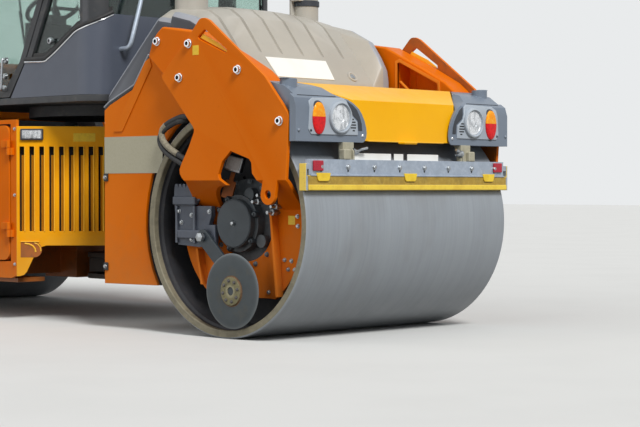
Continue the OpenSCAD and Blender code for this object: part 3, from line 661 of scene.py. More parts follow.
def lathe(profile: Sequence[Point], steps: int = 48, marks: Sequence[int] = ()) -> Form:
    """A form turned about the machine's width.

    Args:
        profile: radius and distance of each point.
        steps: facets round it.
        marks: index of the finish of each band.

    Returns:
        The form.
    """
    form = bmesh.new()
    turn = [2 * pi * k / steps for k in range(steps)]
    rings = [[form.verts.new((0, w, 0))] if r < ON_AXIS else
             [form.verts.new((r * cos(a), w, r * sin(a))) for a in turn] for r, w in profile]
    for band, (one, two) in enumerate(zip(rings, rings[1:])):
        for k in range(steps):
            corners = [one[k % len(one)], one[(k + 1) % len(one)],
                       two[(k + 1) % len(two)], two[k % len(two)]]
            corners = list(dict.fromkeys(corners))
            if len(corners) > 2:
                form.faces.new(corners).material_index = marks[band] if marks else 0
    bmesh.ops.recalc_face_normals(form, faces=form.faces)
    return form


def hull(points: Iterable[Point], edge: float = 0.0) -> Form:
    """The rounded hull of some points.

    Args:
        points: points that it holds.
        edge: width of the rounding.

    Returns:
        The closed form.
    """
    form = bmesh.new()
    for point in points:
        form.verts.new(point)
    made = bmesh.ops.convex_hull(form, input=form.verts)
    spare = {g for g in made["geom_interior"] + made["geom_unused"]
             if isinstance(g, bmesh.types.BMVert)}
    bmesh.ops.delete(form, geom=list(spare), context="VERTS")
    bmesh.ops.dissolve_limit(form, angle_limit=radians(1), verts=form.verts, edges=form.edges)
    bmesh.ops.recalc_face_normals(form, faces=form.faces)
    return soften(form, edge, 3)


def smooth_path(points: Sequence[Point], steps: int = 6) -> list[Vector]:
    """Runs a smooth curve through points.

    Args:
        points: points that the curve passes.
        steps: points drawn between two of them.

    Returns:
        The curve's points.
    """
    knots = [Vector(p) for p in points]
    knots = [2 * knots[0] - knots[1], *knots, 2 * knots[-1] - knots[-2]]
    path = []
    for a, b, c, d in zip(knots, knots[1:], knots[2:], knots[3:]):
        for k in range(steps):
            t = k / steps
            path.append(0.5 * (2 * b + (c - a) * t + (2 * a - 5 * b + 4 * c - d) * t * t
                               + (3 * b - a - 3 * c + d) * t ** 3))
    return path + [knots[-2]]


def tube(path: Sequence[Point], radius: float, sides: int = 12) -> Form:
    """A round bar or hose along a path, closed at both ends.

    Args:
        path: points of its middle line.
        radius: half its thickness.
        sides: facets round it.

    Returns:
        The closed form.
    """
    points = [Vector(p) for p in path]
    way = (points[1] - points[0]).normalized()
    across = way.orthogonal().normalized()
    turns = [2 * pi * k / sides for k in range(sides)]
    rings = []
    for k, point in enumerate(points):
        ahead = (points[min(k + 1, len(points) - 1)] - points[max(k - 1, 0)]).normalized()
        across = way.rotation_difference(ahead) @ across
        across = (across - ahead * across.dot(ahead)).normalized()
        way, side = ahead, ahead.cross(across)
        rings.append([point + radius * (across * cos(a) + side * sin(a)) for a in turns])
    return skinned(rings)


def cap_bolt(radius: float, height: float) -> Form:
    """Head of a socket cap screw on its washer, with the socket as finish 1.

    Args:
        radius: radius of the washer.
        height: height of the head.

    Returns:
        The form, whose axis is +Y.
    """
    r, h = radius, height
    profile = [(0, h * 0.55), (r * 0.42, h * 0.55), (r * 0.46, h), (r * 0.72, h),
               (r * 0.82, h * 0.88), (r * 0.82, h * 0.3), (r, h * 0.26), (r, 0), (0, 0)]
    return lathe(profile, 32, (1, 1, 0, 0, 0, 0, 0, 0))


def hex_bolt(radius: float, height: float) -> Form:
    """Head of a hexagon screw with chamfered corners on its washer.

    Args:
        radius: radius of the washer.
        height: height of the head.

    Returns:
        The form, whose axis is +Y.
    """
    form = lathe([(0, height), (radius * 0.62, height), (radius * 0.78, height * 0.82),
                  (radius * 0.78, height * 0.2), (0, height * 0.2)], 6)
    washer = lathe([(0, height * 0.22), (radius * 0.95, height * 0.22),
                    (radius, height * 0.12), (radius, 0), (0, 0)], 20)
    mesh = bpy.data.meshes.new("washer")
    washer.to_mesh(mesh)
    washer.free()
    form.from_mesh(mesh)
    bpy.data.meshes.remove(mesh)
    return form


def carve(form: Form, cutters: Iterable[Form], cut: Cut = Cut.TAKE) -> Form:
    """Cuts closed forms out of a closed form, or joins them to it.

    Args:
        form: the form that is cut.
        cutters: the forms that cut it or join it.
        cut: what the cutters do.

    Returns:
        A new form.
    """
    def as_object(name: str, body: Form) -> bpy.types.Object:
        """Puts a form in a scratch object, with its faces turned outwards.

        Args:
            name: name of the object.
            body: the form, which is used up.

        Returns:
            The object.
        """
        if body.calc_volume(signed=True) < 0:
            bmesh.ops.reverse_faces(body, faces=body.faces)
        mesh = bpy.data.meshes.new(name)
        body.to_mesh(mesh)
        body.free()
        held = bpy.data.objects.new(name, mesh)
        bpy.context.scene.collection.objects.link(held)
        return held

    target = as_object("carved", form)
    tools = [as_object("cutter", c) for c in cutters]
    for tool in tools:
        step = target.modifiers.new("cut", "BOOLEAN")
        step.operation, step.solver, step.object = cut.value, "EXACT", tool
    graph = bpy.context.evaluated_depsgraph_get()
    mesh = bpy.data.meshes.new_from_object(target.evaluated_get(graph))
    result = bmesh.new()
    result.from_mesh(mesh)
    for held in (target, *tools):
        old = held.data
        bpy.data.objects.remove(held)
        bpy.data.meshes.remove(old)
    bpy.data.meshes.remove(mesh)
    return result


class Part:
    """One piece of the scene: forms gathered into a mesh, each with its finish."""

    def __init__(self, name: str) -> None:
        """Starts an empty piece.

        Args:
            name: name of the piece.
        """
        self.name = name
        self.form = bmesh.new()
        self.finishes: list[Finish] = []

    def index(self, finish: Finish) -> int:
        """Looks up a finish on this piece, and adds it if it isn't there yet.

        Args:
            finish: the finish.

        Returns:
            Its index.
        """
        if finish not in self.finishes:
            self.finishes.append(finish)
        return self.finishes.index(finish)

    def add(self, form: Form, finish: Finish | Sequence[Finish],
            places: Iterable[Matrix] = (Matrix(),)) -> "Part":
        """Adds a form once for each place.

        Args:
            form: the form, which is used up.
            finish: its finish, or one for each index that its faces carry.
            places: where copies of it go.

        Returns:
            The piece, so that calls can follow each other.
        """
        several = [finish] if isinstance(finish, Finish) else list(finish)
        slots = [self.index(f) for f in several]
        for face in form.faces:
            face.material_index = slots[min(face.material_index, len(slots) - 1)]
        mesh = bpy.data.meshes.new("form")
        form.to_mesh(mesh)
        form.free()
        for place in places:
            copy = mesh.copy()
            copy.transform(place)
            if place.determinant() < 0:
                copy.flip_normals()
            self.form.from_mesh(copy)
            bpy.data.meshes.remove(copy)
        bpy.data.meshes.remove(mesh)
        return self

    def bolt_circle(self, count: int, radius: float, middle: Point, turn: float,
                    size: tuple[float, float], finish: Finish, places: Iterable[Matrix]) -> None:
        """Adds a circle of hexagon screws whose heads point along +Y.

        Args:
            count: number of screws.
            radius: radius of the circle.
            middle: its middle.
            turn: angle of its first screw, in radians.
            size: radius and height of each head.
            finish: finish of the screws.
            places: where copies of the circle go.
        """
        u, w, z = middle
        for a in (turn + 2 * pi * k / count for k in range(count)):
            self.add(moved(hex_bolt(*size), u + radius * cos(a), w, z + radius * sin(a)), finish,
                     places)

    def done(self, body: str, slot: str, replaces: Sequence[str] = (), crease: float = 35.0,
             ) -> bpy.types.Object:
        """Turns the piece into an object that rides on its body.

        Args:
            body: CAD body that carries it.
            slot: material slot of the record; not used.
            replaces: CAD nodes that it stands for.
            crease: angle from which an edge stays sharp, in degrees.

        Returns:
            The object.
        """
        mesh = bpy.data.meshes.new(self.name)
        self.form.to_mesh(mesh)
        self.form.free()
        for finish in self.finishes:
            mesh.materials.append(finish.material())
        mesh.shade_smooth()
        mesh.set_sharp_from_angle(angle=radians(crease))
        obj = bpy.data.objects.new(self.name, mesh)
        bpy.context.scene.collection.objects.link(obj)
        obj.modifiers.new("even_shading", "WEIGHTED_NORMAL").keep_sharp = True
        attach(obj, body)
        if replaces:
            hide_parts(*replaces)
        log.info("%s: %d faces on %s", self.name, len(mesh.polygons), body)
        return obj


class Machine:
    """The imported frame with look-ups from node to body and slot."""

    def __init__(self, frame: dict) -> None:
        """Sorts the loaded frame by node.

        Args:
            frame: what the frame's loader gives.
        """
        self.nodes = frame["nodes"]
        record = frame["record"]
        self.bodies = {node: body for body, nodes in record["behaviour"]["bodies"].items()
                       for node in nodes}
        self.slots = {s["node"]: s["material_slot"] for s in record["subparts"]}

    def form_of(self, node: str) -> Form:
        """Copies a CAD node's form and joins its flat faces.

        Args:
            node: CAD node.

        Returns:
            The copy.
        """
        form = bmesh.new()
        form.from_mesh(self.nodes[node].data)
        for layer in list(form.loops.layers.uv):
            form.loops.layers.uv.remove(layer)
        bmesh.ops.remove_doubles(form, verts=form.verts, dist=1e-5)
        bmesh.ops.dissolve_limit(form, angle_limit=0.01, verts=form.verts, edges=form.edges)
        for face in form.faces:
            face.material_index = 0
        return form

    def part_of(self, node: str, finishes: Finish | Sequence[Finish], edge: float = 0.003,
                segments: int = 2, pick: Optional[Pick] = None) -> Part:
        """Starts a piece from a CAD node's own shape, with its edges rounded.

        Args:
            node: CAD node.
            finishes: one finish, or the ones that pick chooses from.
            edge: width of the rounding.
            segments: facets of the rounding.
            pick: index of the finish from a face's middle and normal.

        Returns:
            The piece, which still has to be finished with done.
        """
        form = soften(self.form_of(node), edge, segments)
        if pick:
            for face in form.faces:
                face.material_index = pick(face.calc_center_median(), face.normal)
        return Part(f"{node}_dressed").add(form, finishes)

    def finish(self, part: Part, node: str, crease: float = 35.0) -> bpy.types.Object:
        """Finishes a piece that stands for a CAD node."""
        return part.done(self.bodies[node], self.slots[node], (node,), crease)

    def dress(self, node: str, finishes: Finish | Sequence[Finish], edge: float = 0.003,
              segments: int = 2, pick: Optional[Pick] = None) -> None:
        """Makes a whole piece from a CAD node's own shape; see part_of for the arguments."""
        self.finish(self.part_of(node, finishes, edge, segments, pick), node)


@dataclass
class Drum:
    """A smooth drum: shell, rims, heads and the bolts round its hub."""

    end: End
    radius: float = 0.6
    half_width: float = 0.8
    wall: float = 0.042
    head: float = 0.5
    facets: int = 160

    def build(self) -> None:
        """Turns the drum's form and dresses it."""
        node = f"{self.end.value}_drum"
        r, w, bore = self.radius, self.half_width, self.radius - self.wall
        steel = (DRUM_STEEL, RIM, MILL_SCALE)
        part = Part(f"{node}_shell")
        shell = lathe([(r, -w + 0.006), (r, w - 0.006)], self.facets)
        half = [(r, w - 0.006), (r - 0.007, w), (bore + 0.004, w), (bore, w - 0.004),
                (bore, w - 0.033), (bore, w - 0.05), (bore - 0.012, w - 0.06),
                (bore - 0.012, self.head + 0.036),
                (bore - 0.018, self.head + 0.03), (0.105, self.head + 0.03),
                (0.1, self.head + 0.05), (0.061, self.head + 0.05), (0.061, self.head)]
        side = lathe(half, self.facets, (0, 1, 1, 1, 2, 2, 2, 2, 2, 2, 2, 2))
        at = self.end.place @ Matrix.Translation((0, 0, r))
        part.add(shell, steel, [at])
        part.add(side, steel, [at, at @ MIRROR_Y])
        part.bolt_circle(12, 0.27, (0, self.head + 0.03, 0), 0, (0.017, 0.014), MILL_SCALE,
                         [at, at @ MIRROR_Y])
        part.done(f"drum_{self.end.value}", "drum_steel", (node,))


@dataclass
class Yoke:
    """Yoke plates of one carriage with their arms, drum mounts and small fittings."""

    machine: Machine
    end: End
    face: float = 0.854
    inner_face: float = 0.67
    pocket_face: float = 0.69
    motor_face: float = 0.733
    # Ears of the motor's cover: radius of their circle, and their angles in degrees
    ear_circle: float = 0.142
    ear_angles: tuple[float, ...] = (20, 118, 152, 248, 320)
    axle: float = 0.6
    # Socket cap screws on the upper plate: u, z
    cap_bolts: Table = ((-0.213, 1.546), (-0.287, 1.37), (0.161, 1.392), (0.463, 1.122))
    # The one on the arm: u, y, z
    arm_bolt: Point = (-0.487, 0.834, 1.574)
    # Small hexagon screws on the lower plate: u, z
    screws: Table = ((0.407, 0.641), (0.41, 0.591), (0.364, 0.412), (0.34, 0.368),
                     (0.314, 0.416), (0.388, 0.367), (0.198, 0.245), (-0.337, 0.43))

    def build(self) -> None:
        """Dresses plates, arms and mounts, and adds the fittings."""
        def inner(at: Vector, normal: Vector) -> int:
            """Faces that look inwards, on the plate's inner side and in the drum's recess, take
            the orange in painted shade.
            """
            return int(normal.y * (1 if at.y > 0 else -1) < -0.5)

        self.machine.dress(f"{self.end.value}_yokes", (ORANGE, ORANGE_PAINTED_SHADE), pick=inner)
        self.arms()
        self.fittings()
        self.mounts()

    def arms(self) -> None:
        """Widens the pocket on the arms' inner face and frames it."""
        node, at = f"{self.end.value}_arms", self.end.both
        form = soften(self.machine.form_of(node), 0.012, 3)
        pocket = [(-0.106, 1.29), (-0.106, 1.515), (-0.088, 1.52), (0.2, 1.385), (0.205, 1.29)]
        cutters = [placed(plate(pocket, self.pocket_face - 0.01, 0.8, 0), place) for place in at]
        part = Part(f"{node}_dressed").add(carve(form, cutters), ORANGE)
        rim = [(-0.122, 1.275), (-0.122, 1.528), (-0.09, 1.54), (0.215, 1.397), (0.222, 1.275)]
        part.add(plate(rim, self.pocket_face - 0.004, self.pocket_face + 0.012, 0.0, [pocket]),
                 ORANGE, at)
        part.add(tube([(-0.1, 0.71, 1.408), (-0.03, 0.71, 1.35)], 0.008, 12), ORANGE, at)
        # Bright folded lip inside the slot of the yoke
        part.add(plate([(-0.138, 1.573), (0.066, 1.486), (0.07, 1.492), (0.0, 1.538),
                        (-0.12, 1.592)], 0.834, 0.842, 0.001), AMBER, at)
        self.machine.finish(part, node)

    def fittings(self) -> None:
        """Adds screws, blank labels, flanges, hydraulic fittings and the edge lamp."""
        part, at = Part(f"{self.end.value}_yoke_fittings"), self.end.both
        # Cap screws, their sockets near-black as painted shade
        for u, w, z in (*((u, self.face, z) for u, z in self.cap_bolts), self.arm_bolt):
            part.add(moved(cap_bolt(0.024, 0.02), u, w, z), (CHROME, HOLLOW), at)
        for u, z in self.screws:
            part.add(moved(hex_bolt(0.012, 0.01), u, self.inner_face, z), ZINC, at)
        part.add(block((-0.185, self.face, 1.484), (-0.137, self.face + 0.001, 1.534), 0),
                 LABEL, at)
        part.add(block((0.34, self.inner_face, 0.598), (0.389, self.inner_face + 0.001, 0.644), 0),
                 LABEL, at)
        # Folded flanges that stiffen the lower plate
        for outline in (((0.246, 0.655), (0.262, 0.655), (0.306, 0.225), (0.29, 0.225)),
                        ((-0.316, 0.46), (-0.3, 0.46), (-0.262, 0.27), (-0.278, 0.27))):
            part.add(plate(outline, self.inner_face, self.inner_face + 0.045), ORANGE, at)
        # Hydraulic fittings beside the eye
        for u, z, size in ((0.16, 0.715, 0.017), (0.196, 0.748, 0.015), (0.27, 0.66, 0.018),
                           (0.296, 0.69, 0.014)):
            body = lathe([(0, 0.085), (size * 0.55, 0.085), (size * 0.6, 0.055),
                          (size, 0.05), (size, 0.02), (size * 0.8, 0.014), (size * 0.8, 0),
                          (0, 0)], 6 if size > 0.016 else 20)
            part.add(moved(body, u, self.inner_face, z), ZINC, at)
        part.done(self.end.carriage, "orange_paint")
        self.work_lamp()

    def work_lamp(self) -> None:
        """Adds the lamp that lights the drum's edge through the window."""
        part = Part(f"{self.end.value}_edge_lamps")
        tilt = (Matrix.Translation((-0.018, 0.71, 0.915)) @ Matrix.Rotation(radians(-34), 4, "Z")
                @ Matrix.Rotation(radians(16), 4, "Y"))
        shell = block((-0.048, -0.03, -0.046), (0.052, 0.022, 0.046), 0.012, 3)
        rim = block((-0.044, 0.015, -0.042), (0.048, 0.032, 0.042), 0.008, 3)
        glass = block((-0.036, 0.028, -0.034), (0.04, 0.037, 0.034), 0.004, 3)
        bar = block((-0.012, -0.04, -0.1), (0.012, -0.03, -0.03))
        foot = block((-0.03, -0.055, -0.19), (0.03, -0.03, -0.095), 0.003)
        # Bar and foot take the orange in painted shade
        for form, finish in ((shell, ABS_DARK), (rim, ZINC), (glass, FROSTED),
                             (bar, ORANGE_PAINTED_SHADE), (foot, ORANGE_PAINTED_SHADE)):
            part.add(form, finish, [side @ tilt for side in self.end.both])
        part.done(self.end.carriage, "lamp_grey")

    def mounts(self) -> None:
        """Dresses the castings and adds the motor's cover, nut and ears, and the bolts."""
        node, at, y = f"{self.end.value}_drum_mounts", self.end.both, self.motor_face
        part = self.machine.part_of(node, CAST, 0.006)
        disc = lathe([(0.126, y - 0.006), (0.126, y + 0.001), (0.122, y + 0.004),
                      (0.02, y + 0.004), (0.018, y + 0.001), (0.0, y + 0.001)], 64)
        part.add(moved(disc, 0, 0, self.axle), MOTOR, at)
        part.add(moved(lathe([(0, y + 0.018), (0.009, y + 0.018), (0.011, y + 0.015),
                              (0.011, y)], 6), 0, 0, self.axle), ZINC, at)
        for a in map(radians, self.ear_angles):
            u, z = self.ear_circle * cos(a), self.axle + self.ear_circle * sin(a)
            ear = lathe([(0, 0.03), (0.012, 0.03), (0.017, 0.026), (0.02, 0)], 24)
            part.add(moved(ear, u, 0.69, z), MOTOR, at)
            part.add(moved(hex_bolt(0.01, 0.008), u, 0.72, z), MOTOR, at)
        # Bolt circle that holds the casting on the yoke's lower plate
        part.bolt_circle(14, 0.222, (0.03, self.inner_face, self.axle), 0.1, (0.014, 0.013),
                         CAST, at)
        self.machine.finish(part, node)


@dataclass
class FrameBody:
    """The rear frame with its side panels, strips and buffers, and the steering knuckle."""

    machine: Machine
    panel_face: float = 0.78

    def build(self) -> None:
        """Dresses the frame and adds the outer panel's fittings."""
        self.machine.dress("rear_frame", CHASSIS)
        self.machine.dress("knuckle", CHASSIS, 0.004)
        self.machine.dress("engine_block", CAST, 0.02, 3)
        self.machine.dress("rear_side_panels", ORANGE)
        part, at, w = Part("rear_panel_fittings"), End.REAR.both, self.panel_face
        # Reflective strip, folded band towards the arm and rubber buffers at the edge
        part.add(block((-0.998, w, 0.867), (-0.508, w + 0.0015, 1.07), 0), TAPE, at)
        part.add(plate([(-0.915, 1.098), (-0.842, 1.098), (-0.592, 1.45), (-0.612, 1.494),
                        (-0.645, 1.478)], w, w + 0.006), ORANGE, at)
        # Seal on the panel's upper edge, which the hood's side closes on: dark rubber that also
        # stands for the shade in the gap, with a pale tube over it as a painted highlight along
        # the lip
        edge = ((-0.996, 1.226), (-0.952, 1.254), (-0.74, 1.342), (-0.618, 1.502))
        for lift, radius, finish in ((0.0, 0.009, RUBBER), (0.012, 0.006, HOOD_PAINTED_HIGHLIGHT)):
            part.add(tube([(u - lift, w - 0.008, z + lift) for u, z in edge], radius), finish, at)
        for z in (0.845, 0.348):
            part.add(block((-0.999, w, z - 0.022), (-0.965, w + 0.01, z + 0.022), 0.004),
                     RUBBER, at)
            part.add(moved(hex_bolt(0.012, 0.01), -0.982, w + 0.01, z), ZINC, at)
        part.done("rear_carriage", "orange_paint")


@dataclass
class Hood:
    """Engine hood: a moulded shell with six grooves, side panels, stacks and a lock."""

    half_width: float = 0.668
    wall: float = 0.022
    foot: float = 1.25
    # Direction that the lower slope faces, and the blank plate on it: u, z and half width
    # of its upper and lower edge
    slope: Point = (0.79, 0, 0.613)
    plate_edges: Table = ((-0.2645, 1.5105, 0.243), (-0.1785, 1.3985, 0.227))
    grooves: tuple[float, ...] = (-0.42, -0.25, -0.085, 0.085, 0.25, 0.42)
    # Half width and lift of the top's crowned sections
    crown: Table = ((0.15, 0.045), (0.35, 0.031), (0.48, 0.014))
    # Rim of the raised cheeks and the foot of their inner facet: u, z
    cheek_rim: Table = ((-0.56, 1.755), (-0.414, 1.72), (-0.318, 1.672), (-0.262, 1.646),
                        (-0.199, 1.56), (-0.162, 1.494), (-0.152, 1.43), (-0.152, 1.27))
    cheek_foot: Table = ((-0.50, 1.742), (-0.445, 1.715), (-0.275, 1.523), (-0.16, 1.375),
                         (-0.156, 1.27))

    def profile(self, inset: float, crown: float = 0.0) -> list[tuple[float, float]]:
        """Outline of the hood in u and z.

        Args:
            inset: how far it moves inwards.
            crown: how far its top moves up.

        Returns:
            The corners, from the foot behind to the foot in front.
        """
        d, c = inset, crown
        return [(-1.12 + d, self.foot), (-1.105 + d, 1.385 - d / 2),
                (-0.88 + d / 2, 1.62 - d + c * 0.3), (-0.68, 1.78 - d + c),
                (-0.53, 1.755 - d + c), (-0.445, 1.715 - d + c * 0.6), (-0.275 - d, 1.523 - d),
                (-0.16 - d, 1.375 - d), (-0.152 - d, self.foot)]

    def shell(self, inset: float, edge: float, foot: float) -> Form:
        """The hood's closed form, inset all round.

        Args:
            inset: distance inwards from the outer face.
            edge: rounding of its edges.
            foot: height of its lower edge.

        Returns:
            The form.
        """
        d, hw = inset, self.half_width - inset
        points = [(u, s * y, z) for y, crown in self.crown
                  for u, z in self.profile(d, crown) for s in (-1, 1)]
        points += [(u, s * (hw - 0.098), z) for u, z in self.profile(d) for s in (-1, 1)]
        points += [(u, s * hw, z) for u, z in self.profile(d + 0.06) for s in (-1, 1)]
        points += [(u, s * hw, z) for u in (-1.118 + d, -0.16 - d)
                   for z in (self.foot, self.foot + 0.05) for s in (-1, 1)]
        form = hull(points, edge)
        # The rounding at the foot is pressed flat, or drawn down where the shell is a cutter
        for vert in form.verts:
            vert.co.z = foot if vert.co.z < self.foot + 0.0001 + edge * 1.01 else vert.co.z
        return form

    def cheek(self, side: int) -> Form:
        """Raised cheek that flanks the slope: a rim at the hood's side and a steep facet.

        Args:
            side: its sign along y.

        Returns:
            The closed form.
        """
        rim = [(u, side * y, z - drop) for u, z in self.cheek_rim
               for y, drop in ((0.617, 0.0), (0.648, 0.004), (self.half_width, 0.03))]
        foot = [(u, side * 0.54, z - 0.006) for u, z in self.cheek_foot]
        back = [(u, side * y, z) for u, z in ((-0.6, 1.6), (-0.2, 1.27))
                for y in (0.6, self.half_width)]
        return hull(rim + foot + back, 0.008)

    def groove(self, y: float) -> Form:
        """Cutter of one groove from the ridge down the slope, shallow at its ends.

        Args:
            y: place of the groove across the hood.

        Returns:
            The closed form.
        """
        lift = max(c * (1 - abs(y) / 0.6) for _, c in self.crown)
        line = [(-0.66, 1.779 + lift, 0.0), (-0.53, 1.755 + lift, 0.008),
                (-0.445, 1.715 + lift * 0.6, 0.013), (-0.36, 1.619 + lift * 0.3, 0.013),
                (-0.30, 1.551, 0.012), (-0.285, 1.534, 0.0)]
        rings = []
        for u, z, depth in line:
            out = Vector((0.35, 0, 0.94)) if u < -0.5 else Vector((0.75, 0, 0.66))
            rings.append([Vector((u, y + side, z)) + out * high
                          for side, high in ((-0.004, 0.001 - depth), (0.004, 0.001 - depth),
                                             (0.018, 0.02), (-0.018, 0.02))])
        return skinned(rings)

    def build(self) -> None:
        """Shapes the hood and adds the plate, lock, hinges and stacks."""
        part = Part("hood_shell")
        outer = carve(self.shell(0.0, 0.026, self.foot), [self.cheek(-1), self.cheek(1)], Cut.JOIN)
        inner = self.shell(self.wall, 0.02, self.foot - 0.05)
        outer = carve(outer, [inner] + [self.groove(y) for y in self.grooves])
        # Faces take their finish from where they face: the rounded rim the lighter grey as painted
        # highlight, the sides the dark slate as painted shade, the rest the top's grey
        for face in outer.faces:
            lean, at_y = abs(face.normal.y), abs(face.calc_center_median().y)
            rim = at_y > 0.612 and lean < 0.9
            face.material_index = 2 if rim else int(lean >= 0.9 and at_y > 0.53)
        at, both = [End.REAR.place], End.REAR.both
        part.add(outer, (HOOD_TOP, HOOD_PAINTED_SHADE, HOOD_PAINTED_HIGHLIGHT), at)
        part.add(self.blank_plate(), PLATE, at)
        lock = lathe([(0, 0.006), (0.016, 0.006), (0.018, 0.003), (0.022, 0.003),
                      (0.024, 0.006), (0.032, 0.006), (0.034, 0.0)], 32, (1, 1, 0, 0, 0, 0))
        part.add(moved(turned(lock, self.slope), -0.198, 0.4, 1.4255), (HOOD_TOP, ZINC), at)
        # Hinge knuckle round the pin on the cover, and the leaf that holds it
        near, far = 0.359, 0.399
        knuckle = lathe([(0.0075, near), (0.012, near), (0.0125, far), (0.0075, far),
                         (0.0075, near)], 24)
        part.add(moved(knuckle, -0.146, 0, 1.36), ZINC, both)
        part.add(block((-0.19, near, 1.349), (-0.155, far, 1.371)), ZINC, both)
        part.done("engine_hood", "hood_plastic", ("hood",))
        self.stacks()

    def blank_plate(self) -> Form:
        """Lays a blank plate on the hood's lower slope.

        Returns:
            The closed form.
        """
        lift = Vector(self.slope) * 0.004
        return hull(Vector((u, s * half, z)) + lift * share for u, z, half in self.plate_edges
                    for s in (-1, 1) for share in (0.2, 1.0))

    def stacks(self) -> None:
        """Turns the air intake and the exhaust's shroud on top of the hood."""
        part, at = Part("hood_stack_shrouds"), [End.REAR.place]
        left = lathe([(0.115, 1.72), (0.1, 1.752), (0.094, 1.77), (0.092, 1.95),
                      (0.086, 1.958), (0.076, 1.958), (0.074, 1.9), (0, 1.9)], 48,
                     (0, 0, 0, 0, 0, 1, 1))
        right = lathe([(0.094, 1.70), (0.08, 1.735), (0.074, 1.75), (0.074, 1.86),
                       (0.08, 1.862), (0.08, 1.892), (0.073, 1.896), (0.073, 1.94),
                       (0.078, 1.945), (0.078, 2.0), (0.068, 2.018), (0, 2.02)], 48,
                      (0, 0, 0, 1, 1, 1, 0, 1, 1, 1, 1))
        for form, u, y in ((left, -0.66, -0.43), (right, -0.62, 0.45)):
            part.add(moved(turned(form, (0, 0, 1)), u, y, 0), (HOOD_TOP, ABS_DARK), at)
        # Bracket that steadies the exhaust's shroud
        part.add(block((-0.66, 0.35, 1.72), (-0.645, 0.385, 1.9), 0.003), HOOD_TOP, at)
        part.add(block((-0.66, 0.35, 1.89), (-0.58, 0.39, 1.9), 0.003), HOOD_TOP, at)
        part.done("engine_hood", "hood_plastic", ("hood_stacks",))


